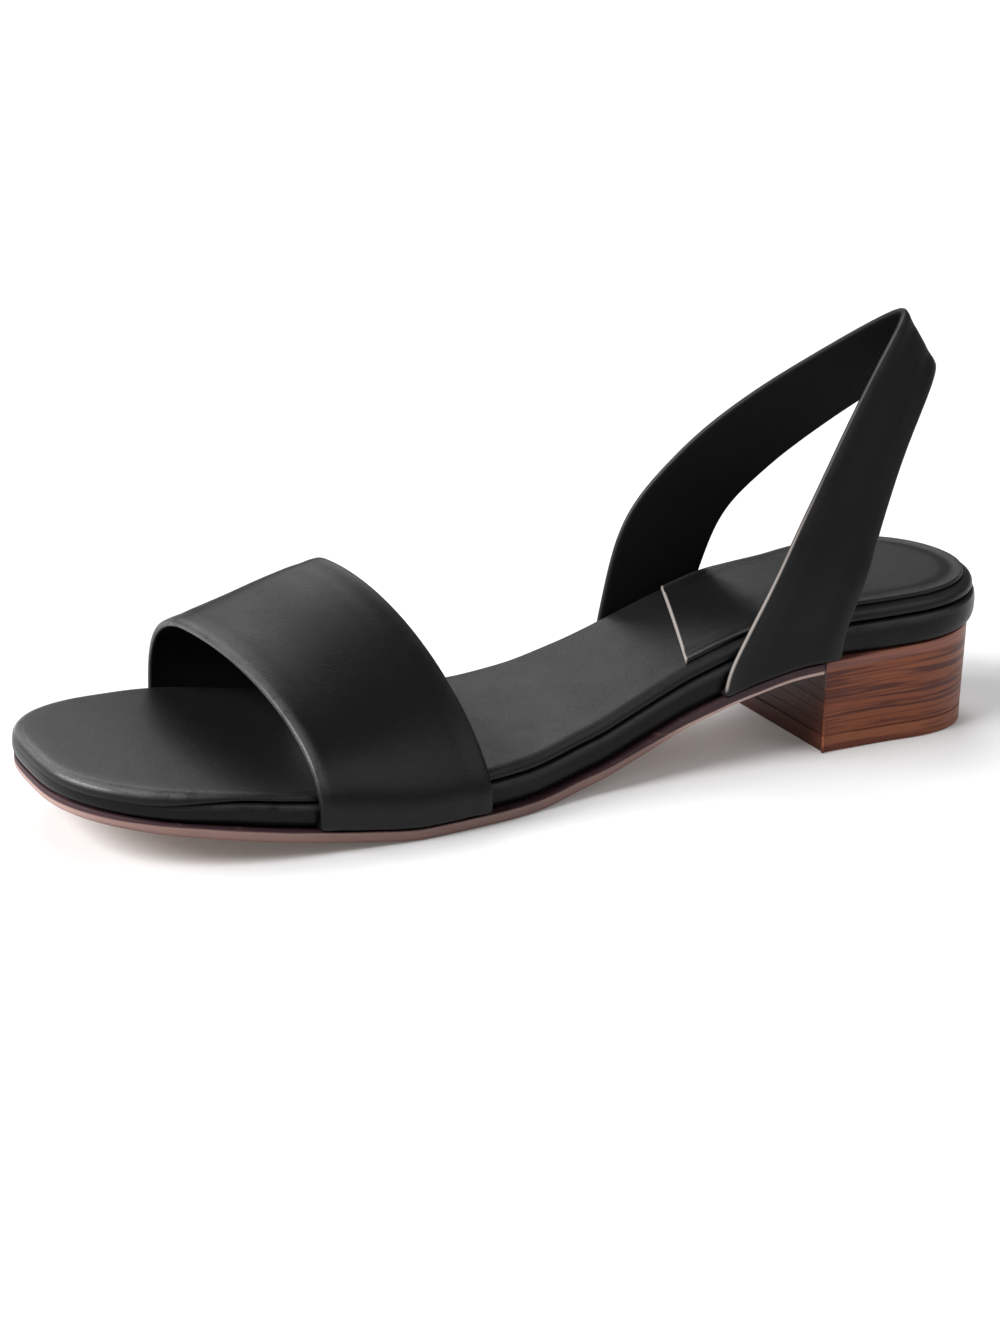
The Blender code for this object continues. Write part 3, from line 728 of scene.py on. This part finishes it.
STACK = stack_material("stacked_heel", (0.27, 0.082, 0.030), (0.17, 0.042, 0.017),
                       (0.056, 0.011, 0.008), LAYERS, (0.26, 0.11, 0.085))
TIP = stack_material("heel_tip_stack", (0.32, 0.110, 0.046), (0.22, 0.065, 0.028),
                     (0.11, 0.026, 0.014), 1.0, None)
block("stacked_heel_piece", lambda station: HEEL_TIP_THICK + GAP, seat,
      (HEEL_INSET + HEEL_TAPER, HEEL_INSET), STACK, "heel_block")
block("heel_tip_piece", lambda station: 0.0, lambda station: HEEL_TIP_THICK + 0.8 * GAP,
      (HEEL_INSET + HEEL_TAPER, HEEL_INSET + HEEL_TAPER), TIP, "heel_tip")

# %% [markdown]
# ## The footbed's wall
# The footbed is a board wrapped in black leather. Its side is a low wall that rolls over at
# the top, and the cushion sits on it, a little further in, so a fine crease runs between the
# two. At the toe the leather is pulled over both in one go, and the crease almost closes.

# %% Footbed wall
WALL_SECTION = {
    "inset": (1.00, 0.40, 0.05, 0.00, 0.12, 0.45, 1.00),
    "lift": (0.00, 0.10, 0.35, 0.60, 0.85, 0.96, 1.00),
}
TOE_PULL = 0.34
WALL_WEAR_SHEEN_AT = 0.86
WALL_WEAR_SHEEN_WIDE = 0.10


def toe_share(station):
    """0 behind the forefoot, 1 round the front of the toe. It says where the toe is pulled."""
    return ease(0.208, 0.236, station)


wall_inset, wall_lift = section(WALL_SECTION["inset"], WALL_SECTION["lift"], 34)
toe = toe_share(WHOLE_SIDE[:, 0])
rounding = WALL_ROUND * (1 - 0.92 * toe * (wall_lift[:, None] > 0.5))
rings = inset_rings(WHOLE_SIDE, wall_inset[:, None] * rounding)
shares = np.linspace(0, 1, 9)[1:]
plan = closed_rings(rings, shares, shares, *FOOTBED_CORE)
station = plan[..., 0]
lift = np.concatenate([0 * shares, wall_lift, 0 * shares + 1])[:, None]
pull = toe_share(station)
height = seat(station) + GAP + lift * (wall_top(station) * (1 - TOE_PULL * pull) - GAP)
# painted highlight: a paler line along the wall's top roll, partly wear, not round the toe
wear_and_sheen = bell(lift, WALL_WEAR_SHEEN_AT, WALL_WEAR_SHEEN_WIDE) * (1 - pull)
wall = add_piece("footbed_wall", placed(station, plan[..., 1], height), WALL_LEATHER,
                 {"wear_and_sheen": wear_and_sheen})
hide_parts("footbed")

# %% [markdown]
# ## The cushion
# The cushion is a few millimetres of foam under thin leather. It is full and smooth, its edge
# falls over softly to the crease, and its top follows the seat. Stuffing it in a simulation
# would blur the narrow crease, so it is modelled by its section: a row of insets and lifts
# that is carried round the outline, with a slight crown over the middle. Round the toe a
# fuller section takes over and reaches down over the wall, and its roll is polished by wear.
# Along the roll, most of all round the toe, the colour is also painted paler: a painted
# highlight.

# %% Cushion
SHOULDER_SECTION = {
    "inset": (0.26, 0.12, 0.13, 0.19, 0.30, 0.50, 1.00),
    "lift": (0.00, 0.16, 0.38, 0.66, 0.85, 0.96, 1.00),
}
TOE_SHOULDER = {
    "inset": (0.020, 0.014, 0.026, 0.100, 0.230, 0.420, 1.00),
    "lift": (0.00, 0.12, 0.36, 0.66, 0.85, 0.960, 1.00),
}
CROWN = 0.0003
ROLL_WEAR_SHEEN_AT = 0.75
ROLL_WEAR_SHEEN_WIDE = 0.18

body_inset, body_lift = section(SHOULDER_SECTION["inset"], SHOULDER_SECTION["lift"], 40)
toe_inset, toe_lift = section(TOE_SHOULDER["inset"], TOE_SHOULDER["lift"], 40)
shoulder = body_inset[:, None] * (1 - toe) + toe_inset[:, None] * toe
shoulder_lift = body_lift[:, None] * (1 - toe) + toe_lift[:, None] * toe
rings = inset_rings(WHOLE_SIDE, shoulder * SHOULDER_WIDE)
shares = np.linspace(0, 1, 17)[1:]
below = shares[1::2]
plan = closed_rings(rings, below, shares, *FOOTBED_CORE)
station = plan[..., 0]
lift = np.concatenate([np.zeros((len(below), len(WHOLE))), shoulder_lift,
                       np.ones((len(shares), len(WHOLE)))])
crown = CROWN * np.concatenate([np.zeros(len(below) + len(rings)), 1 - (1 - shares) ** 2])
pull = toe_share(station)
base = seat(station) + wall_top(station) * (1 - TOE_PULL * pull) + GAP * (1 - 2.4 * pull)
top = seat(station) + footbed_thick(station)
height = base + lift * (top - base) + crown[:, None]
# painted highlight: the roll is made paler, most of all round the toe, partly wear
wear_and_sheen = bell(lift, ROLL_WEAR_SHEEN_AT, ROLL_WEAR_SHEEN_WIDE) * (0.10 + 0.85 * pull)
cushion = add_piece("insole_cushion_piece", placed(station, plan[..., 1], height),
                    CUSHION_LEATHER, {"wear_and_sheen": wear_and_sheen})
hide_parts("insole_cushion")

# %% [markdown]
# ## The heel sock
# A thin piece of leather lies on the cushion's heel, glued down and cut off on a slant in
# front. The cut shows the raw, pale leather. Pressing it down leaves a faint trough that
# follows the edge a few millimetres inside it.

# %% Heel sock
SOCK_THICK = 0.0009
SOCK_IN = 0.0034
SOCK_LINE_AT = 0.0830
SOCK_LINE_SKEW = 0.300
SOCK_TROUGH = 0.0004
SOCK_TROUGH_IN = 0.0066
SOCK_TROUGH_WIDE = 0.0016
SOCK_SIDE = 150
SOCK_ACROSS = 60
SOCK_CORE = (0.030, 0.066)


def cushion_top(station, depth):
    """Height of the cushion's surface at a depth inside the wall's widest line."""
    share = flow(SHOULDER_SECTION["inset"][1:], SHOULDER_SECTION["lift"][1:],
                 np.asarray(depth) / SHOULDER_WIDE)
    low = wall_top(station) + GAP
    return seat(station) + low + share * (footbed_thick(station) - low)


line_outer = SOCK_LINE_AT + SOCK_LINE_SKEW * float(half_width("outer", SOCK_LINE_AT))
line_inner = SOCK_LINE_AT - SOCK_LINE_SKEW * float(half_width("inner", SOCK_LINE_AT))
sock_base = closed_loop(0.0, line_outer, line_inner, SOCK_SIDE, SOCK_ACROSS)
corner = SOCK_SIDE
far_corner = SOCK_SIDE + SOCK_ACROSS


def side_lean(points):
    """Inward directions of the sole's outline next to given points on it."""
    order = np.argmin(np.linalg.norm(points[:, None] - WHOLE[None], axis=-1), axis=1)
    return WHOLE_LEAN[order]


lean = side_lean(sock_base)
edge = sock_base + lean * (side_inset(sock_base[:, 0]) + SOCK_IN)[:, None]
share = np.linspace(0, 1, SOCK_ACROSS + 1)[:, None]
edge[corner:far_corner + 1] = edge[corner] * (1 - share) + edge[far_corner] * share
turn = np.linspace(0, math.pi / 2, 5)
round_off = SOCK_THICK * 0.45
sock_insets = np.concatenate([[0.0, 0.0, 0.0], round_off * (1 - np.cos(turn))])
sock_lifts = np.concatenate([[0.0, 0.2, 0.4], 0.55 + 0.45 * np.sin(turn)])
rings = inset_rings(edge, sock_insets[:, None])
shares = np.linspace(0, 1, 25)[1:] ** 1.25
below = shares[::2]
plan = closed_rings(rings, below, shares, *SOCK_CORE)
lift = np.concatenate([0 * below, sock_lifts, 0 * shares + 1])[:, None]


def depth_inside(points):
    """Distance of plan points from the wall's widest line, ring by ring."""
    rows = [np.min(np.linalg.norm(row[:, None] - WHOLE_SIDE[None], axis=-1), axis=1)
            for row in points]
    return np.stack(rows)


depth = depth_inside(plan)
base = cushion_top(plan[..., 0], depth) + GAP + CROWN * np.clip(depth / 0.02, 0, 1)
trough = SOCK_TROUGH * bell(depth, SOCK_TROUGH_IN, SOCK_TROUGH_WIDE) * (lift > 0.99)
front = np.zeros((1, len(edge)))
front[0, corner:far_corner + 1] = 1.0
cut = np.concatenate([0 * below, np.ones(len(rings) - 1), [0.5], 0 * shares])[:, None] * front
# painted highlight and wear: the sock's top is made paler along its edge
wear_and_sheen = bell(depth, SOCK_IN, 0.0012) * (lift > 0.9)
heel_sock = add_piece("heel_sock_piece",
                      placed(plan[..., 0], plan[..., 1], base + lift * SOCK_THICK - trough),
                      SOCK_LEATHER, {"wear_and_sheen": wear_and_sheen, "cut": cut})
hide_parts("heel_sock")

# %% [markdown]
# ## Straps with real edges
# The band and the heel strap are leather with a lining, close to two millimetres thick. Both
# go down in slots of the footbed's wall and turn in under it. Each is given by its middle
# surface, a grid of points along and across. Its skin is a closed section carried along it:
# over the face, round the front edge, back over the lining and round the back edge.

# %% Strap helper
TUCK = 0.0040
BEND = 0.0004
FOOT_HIGH = 0.0041


def strap_tuck(side, station, bend_rows):
    """Rows of a strap's end, from under the footbed round its lower corner to its side.

    Two rows lie flat, then a quarter circle of the bend's radius, then one upright row.
    """
    turn = np.linspace(0, math.pi / 2, bend_rows)
    deep = np.concatenate([[TUCK, TUCK / 2], BEND * (1 - np.sin(turn)), [0.0]])[:, None]
    lift = np.concatenate([[0.0, 0.0], BEND * (1 - np.cos(turn)), [FOOT_HIGH]])[:, None]
    across = SIDE_SIGN[side] * (half_width(side, station) - deep)
    height = seat(station) + GAP + STRAP_THICK / 2 + lift
    return np.stack([np.broadcast_to(station, across.shape), across, height], axis=-1)


def even(path, count):
    """Space each column of a path evenly along its length."""
    columns = []
    for line in np.moveaxis(path, 1, 0):
        run = running(line)
        at = np.linspace(0, run[-1], count)
        columns.append(np.stack([np.interp(at, run, line[:, axis]) for axis in range(3)], axis=-1))
    return np.stack(columns, axis=1)


def smoothed(grid, times):
    """Average each inner row with its neighbours, which takes the kinks out of a path."""
    for _ in range(times):
        middle = 0.25 * grid[:-2] + 0.5 * grid[1:-1] + 0.25 * grid[2:]
        grid = np.concatenate([grid[:1], middle, grid[-1:]])
    return grid


def over_seat(points):
    """Height of a piece's points over the seat under them."""
    return points[..., 2] - seat(points[..., 0] + HEEL_LONG / 2)


def outward_normals(grid):
    """Unit directions square to a surface grid, from the cross product of its two slopes."""
    along = np.gradient(grid, axis=0)
    across = np.gradient(grid, axis=1)
    normal = np.cross(along, across)
    return normal / np.linalg.norm(normal, axis=-1)[..., None]


def read_across(grid, share):
    """Points of a surface grid at the given shares of its width, for all rows at once."""
    columns = grid.shape[1]
    spot = np.clip(np.asarray(share) * (columns - 1), 0, columns - 1)
    low = np.clip(spot.astype(int), 0, columns - 2)
    rest = (spot - low)[None, :, None]
    return grid[:, low] * (1 - rest) + grid[:, low + 1] * rest


def strap_section(width, face_count):
    """Closed section of a strap: shares across, heights, masks for cut, lining and edges.

    The two edges are half ellipses a little flatter than round, and a turned edge makes the
    face swell by a tenth of a millimetre just inside them.
    """
    half = STRAP_THICK / 2
    soft = half * 0.75
    turn = np.linspace(-math.pi / 2, math.pi / 2, 9)[1:-1]
    face = np.linspace(0, 1, face_count)
    inner = soft / width
    shares = inner + face * (1 - 2 * inner)
    spot = np.minimum(face, 1 - face) * width
    swell = 0.00011 * bell(spot, 0.0016, 0.0012) - 0.00010 * bell(spot, 0.0052, 0.0016)
    front = 1 - inner + inner * np.cos(turn)
    back = inner - inner * np.cos(turn)
    share = np.concatenate([shares, front, shares[::-1], back])
    lift = np.concatenate([half + swell, -half * np.sin(turn), np.full(face_count, -half),
                           half * np.sin(turn)])
    raw = np.array([0.2, 0.7, 0.9, 0.4, 0.0, 0.0, 0.0])
    cut = np.concatenate([np.zeros(face_count), raw, np.zeros(face_count), np.zeros(7)])
    lining = np.concatenate([np.zeros(face_count + 5), np.ones(face_count + 4), np.zeros(5)])
    edge = np.concatenate([bell(spot, 0.0, 0.0014), np.ones(7), np.zeros(face_count),
                           np.ones(7)])
    return share, lift, cut, lining, edge


def strap_wall(middle, width, face_count):
    """Carry the section along a strap's middle surface: point = middle + normal x height."""
    share, lift, cut, lining, edge = strap_section(width, face_count)
    normal = outward_normals(middle)
    points = read_across(middle, share)
    facing = read_across(normal, share)
    facing /= np.linalg.norm(facing, axis=-1)[..., None]
    return points + facing * lift[None, :, None], cut, lining, edge, share


# %% [markdown]
# ## The band over the toes
# One wide piece of leather arches over the toes. It is smooth, with both edges turned under,
# and lined in black. Its arch is steep on the inner side and long and low on the outer side,
# as the last is. Each edge is two quarter curves that meet at the crown. Its edges, the front
# one most, are rubbed and painted paler, a painted highlight, but not down at the seat.

# %% Band
BAND_AT_OUTER = 0.1510
BAND_AT_INNER = 0.1650
BAND_LONG_OUTER = 0.0440
BAND_LONG_INNER = 0.0395
BAND_RISE_BACK = 0.0345
BAND_RISE_FRONT = 0.0204
BAND_LAID = 0.0003
BAND_SMOOTHING = 16
BAND_ARCH = {
    "along": (0.0, 0.3, 0.65, 1.0),
    "rise": (1.0, 0.79, 0.39, 0.0),
    "crown": (0.84, 0.80, 0.74, 0.69),
    "outer_across": (1.90, 1.91, 1.93, 1.95),
    "outer_up": (1.40, 1.56, 1.76, 1.95),
    "inner": (3.6, 3.4, 3.3, 3.1),
}


def quarter(foot, peak, crown, across, up):
    """Sides and heights of a quarter curve from a foot up to the crown.

    y = peak + reach cos^(2/p), z = foot + rise sin^(2/q), with across p and up q for how full
    the shoulder is.
    """
    turn = np.linspace(0, math.pi / 2, 400)[:, None]
    side = peak + (foot[:, 1] - peak) * np.cos(turn) ** (2 / across)
    high = foot[:, 2] + (crown - foot[:, 2]) * np.sin(turn) ** (2 / up)
    return np.stack([side, high], axis=-1)


def band_middle(columns, rows):
    """Middle surface of the band, from its outer end over the crown to its inner end.

    Two quarter curves meet at the crown. The station goes with the share of the way across.
    The crown is laid down a little towards the back edge.
    """
    share = np.linspace(0, 1, columns)
    outer = BAND_AT_OUTER + share * BAND_LONG_OUTER
    inner = BAND_AT_INNER + share * BAND_LONG_INNER
    start = strap_tuck("outer", outer, 9)
    end = strap_tuck("inner", inner, 9)[::-1]
    middle = (outer + inner) / 2
    rise = table(BAND_ARCH, "rise", share) * (BAND_RISE_BACK - BAND_RISE_FRONT)
    crown = seat(middle) + footbed_thick(middle) + BAND_RISE_FRONT + rise
    crown = crown - BAND_LAID * bell(share, 0.0, 0.08)
    wide = start[-1, :, 1] - end[0, :, 1]
    peak = start[-1, :, 1] - wide * table(BAND_ARCH, "crown", share)
    near = quarter(start[-1], peak, crown, table(BAND_ARCH, "outer_across", share),
                   table(BAND_ARCH, "outer_up", share))
    inner_power = table(BAND_ARCH, "inner", share)
    far = quarter(end[0], peak, crown, inner_power, inner_power)[::-1][1:]
    side, high = np.moveaxis(np.concatenate([near, far]), -1, 0)
    cross = (start[-1, :, 1] - side) / wide
    station = outer + (inner - outer) * cross
    arch = np.concatenate([start[-2:-1], np.stack([station, side, high], axis=-1), end[1:2]])
    arch = smoothed(even(arch, rows), BAND_SMOOTHING)
    grid = np.concatenate([start[:-2], arch, end[2:]])
    return placed(grid[..., 0], grid[..., 1], grid[..., 2])


band_grid = band_middle(25, 221)
wall_points, cut, lining, edge_mask, across = strap_wall(band_grid, BAND_LONG_OUTER, 41)
front_edge = ease(0.3, 0.7, across)[None, :]
# painted highlight: the edges, the front one most, are made paler above the seat, partly wear
edge_wear_and_sheen = edge_mask[None, :] * (0.2 + 0.8 * front_edge)
edge_wear_and_sheen = edge_wear_and_sheen * ease(0.004, 0.018, over_seat(wall_points))
band = add_piece("vamp_band_piece", wall_points, BAND_LEATHER,
                 {"wear_and_sheen": edge_wear_and_sheen, "lining": lining[None, :]}, ends=True)
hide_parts("vamp_band")

# %% [markdown]
# ## The strap round the heel
# One long strap rises from both sides of the heel seat and meets behind the ankle. It is cut
# wide at its feet and narrow at the back, where it folds to a soft point. On the outer side
# its front edge is cut raw, and low down the pale leather shows as a fine line. Each edge is
# given at five runs from the back, as shares of the strap's reach, spread and height.

# %% Sling strap
SLING_AT_OUTER = 0.0500
SLING_AT_INNER = 0.0635
SLING_FOOT_OUTER = 0.0330
SLING_FOOT_INNER = 0.0290
SLING_HIGH = 0.1057
SLING_REACH = 0.0900
SLING_SPREAD = 0.0285
SLING_FOLD = 0.05
SLING_SMOOTHING = 40
FOLD_SMOOTHING = 16
FOLD_ROWS = 10.0
SLING_RUNS = (0.0, 0.2, 0.4, 0.6, 0.8, 1.0)
SLING_OUTER_FRONT = {
    "forward": (0.208, 0.363, 0.519, 0.667, 0.802),
    "sideways": (0.000, 0.265, 0.523, 0.770, 0.931),
    "up": (1.000, 0.870, 0.717, 0.562, 0.393),
}
SLING_OUTER_BACK = {
    "forward": (0.104, 0.208, 0.311, 0.400, 0.479),
    "sideways": (0.000, 0.302, 0.529, 0.728, 0.891),
    "up": (0.854, 0.769, 0.658, 0.536, 0.403),
}
SLING_INNER_FRONT = {
    "forward": (0.208, 0.401, 0.604, 0.790, 0.945),
    "sideways": (0.000, 0.286, 0.538, 0.760, 0.869),
    "up": (1.000, 0.891, 0.773, 0.630, 0.454),
}
SLING_INNER_BACK = {
    "forward": (0.104, 0.230, 0.368, 0.501, 0.620),
    "sideways": (0.000, 0.301, 0.536, 0.742, 0.888),
    "up": (0.854, 0.774, 0.679, 0.575, 0.453),
}


def sling_edge(rows, side, foot, run):
    """One edge of the strap on one side, at runs from 0 at the back to 1 at the foot.

    Forward and up follow sqrt(run^2 + fold^2) - fold, which rounds the fold at the back.
    """
    drop = np.abs(strap_tuck(side, np.array([foot]), 2)[-1, 0])
    ahead = np.append(np.array(rows["forward"]) * SLING_REACH, drop[0])
    across = np.append(np.array(rows["sideways"]) * SLING_SPREAD, drop[1])
    height = np.append(np.array(rows["up"]) * SLING_HIGH, drop[2])
    soft = np.sqrt(run ** 2 + SLING_FOLD ** 2) - SLING_FOLD
    soft = soft / (math.sqrt(1 + SLING_FOLD ** 2) - SLING_FOLD)
    return np.stack([flow(SLING_RUNS, ahead, soft), SIDE_SIGN[side] * flow(SLING_RUNS, across, run),
                     flow(SLING_RUNS, height, soft)], axis=-1)


def sling_middle(columns, rows):
    """Middle surface of the strap, from its outer foot round the heel to its inner foot.

    Next to the fold at the back the rows are averaged, with a weight that fades out over
    FOLD_ROWS, which turns the fold into a small round.
    """
    share = np.linspace(0, 1, columns)
    run = np.linspace(0, 1, rows) ** 1.15
    halves = []
    sides = (("outer", SLING_OUTER_BACK, SLING_OUTER_FRONT, SLING_AT_OUTER, SLING_FOOT_OUTER),
             ("inner", SLING_INNER_BACK, SLING_INNER_FRONT, SLING_AT_INNER, SLING_FOOT_INNER))
    for side, back_rows, front_rows, start, long in sides:
        back = sling_edge(back_rows, side, start, run)
        front = sling_edge(front_rows, side, start + long, run)
        ribbon = back[:, None] * (1 - share[:, None]) + front[:, None] * share[:, None]
        foot = strap_tuck(side, start + share * long, 9)[::-1]
        upright = smoothed(even(np.concatenate([ribbon, foot[1:2]]), rows), SLING_SMOOTHING)
        halves.append(np.concatenate([upright[:-1], foot[1:]]))
    grid = np.concatenate([halves[0][::-1], halves[1][1:]])
    away = np.abs(np.arange(len(grid)) - len(halves[0]) + 1)
    near_fold = bell(away, 0.0, FOLD_ROWS)[:, None, None]
    grid = grid * (1 - near_fold) + smoothed(grid, FOLD_SMOOTHING) * near_fold
    return placed(grid[..., 0], grid[..., 1], grid[..., 2])


sling_grid = sling_middle(13, 130)
wall_points, cut, lining, edge_mask, across = strap_wall(sling_grid, 0.020, 21)
high_up = ease(0.035, 0.075, wall_points[..., 2])
near_side = ease(0.0, 0.006, wall_points[..., 1])
cut_mask = cut[None, :] * (1 - 0.62 * high_up) * near_side
cut_mask = cut_mask * ease(0.0012, 0.0030, over_seat(wall_points))
# painted highlight: the strap's edges are made a little paler, partly wear
sling = add_piece("sling_strap_piece", wall_points, SLING_LEATHER,
                  {"wear_and_sheen": edge_mask[None, :] * 0.35, "lining": lining[None, :],
                   "cut": cut_mask}, ends=True)
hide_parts("sling_strap")

# %% [markdown]
# ## The floor
# The shoe stands on a plain white board, all but matt, so that only soft shadows lie on it.
# The board is large enough to fill the picture behind the shoe.

# %% Floor
FLOOR_SIZE = 9.0
FLOOR_POINTS = 25
FLOOR_BELOW = 0.0001


def floor_material():
    """White board: nearly even colour, faint cloudiness in the gloss and a fine tooth."""
    paint = Paint("white_board")
    where = paint.place()
    cloud = paint.noise(where, 6.0, 2.0)
    tooth = paint.noise(where, 900.0, 2.0)
    base = paint.mix(cloud, (0.70, 0.70, 0.705, 1.0), (0.72, 0.72, 0.725, 1.0))
    gloss = 0.24 + cloud * 0.06
    return paint.finish(base, gloss, tooth * 0.000002, Specular_IOR_Level=0.05,
                        Emission_Color=(1.0, 1.0, 1.0, 1.0), Emission_Strength=0.08)


span = np.linspace(-FLOOR_SIZE / 2, FLOOR_SIZE / 2, FLOOR_POINTS)
floor_x, floor_y = np.meshgrid(span, span, indexing="ij")
floor_points = np.stack([floor_x, floor_y, np.full(floor_x.shape, -FLOOR_BELOW)], axis=-1)
floor_mesh = bpy.data.meshes.new("floor_board")
floor_mesh.from_pydata(floor_points.reshape(-1, 3).tolist(), [],
                       grid_faces(FLOOR_POINTS, FLOOR_POINTS, False).tolist())
floor_mesh.materials.append(floor_material())
floor = bpy.data.objects.new("floor_board", floor_mesh)
bpy.context.scene.collection.objects.link(floor)
print("floor", FLOOR_SIZE, "m")

# %% [markdown]
# ## Studio light
# Black leather is seen by what it mirrors, so each light is placed for one sheen. The key
# light stands in front of the toe, high up, and the front light beside it, nearer the inner
# side. They draw the bright line on the toe's roll and on the band's front edge. The back
# light, beyond the inner side, gives the band and the footbed their grey sheen, and the side
# light fills the outer side from behind the heel. Straight above it stays dim, which leaves
# the dark middle of the band. The shadow light only deepens the shadow in front of the shoe
# and isn't mirrored. Each light is far away and large, given by its direction, its strength
# and its spread.

# %% Lights and surroundings


def far_light(name, towards, strength, spread):
    """Distant soft light from a direction. Its spread is the angle that it covers, in degrees."""
    data = bpy.data.lights.new(name, "SUN")
    data.energy = strength
    data.angle = math.radians(spread)
    light = bpy.data.objects.new(name, data)
    bpy.context.scene.collection.objects.link(light)
    light.location = Vector(towards)
    light.rotation_mode = "QUATERNION"
    light.rotation_quaternion = (-Vector(towards)).to_track_quat("-Z", "Y")
    return light


far_light("key_light", (0.77, 0.10, 0.63), 3.4, 30.0)
far_light("front_light", (0.80, -0.33, 0.50), 2.6, 30.0)
far_light("back_light", (-0.20, -0.79, 0.56), 0.41, 30.0)
far_light("side_light", (-0.48, 0.57, 0.67), 0.62, 44.0)
shadow_light = far_light("shadow_light", (-0.15, -0.72, 0.68), 1.4, 40.0)
shadow_light.visible_glossy = False
world = bpy.data.worlds.new("studio")
world.use_nodes = True
world.node_tree.nodes["Background"].inputs["Color"].default_value = (1.0, 1.0, 1.0, 1.0)
world.node_tree.nodes["Background"].inputs["Strength"].default_value = 0.15
bpy.context.scene.world = world
bpy.context.scene.view_settings.view_transform = "Standard"
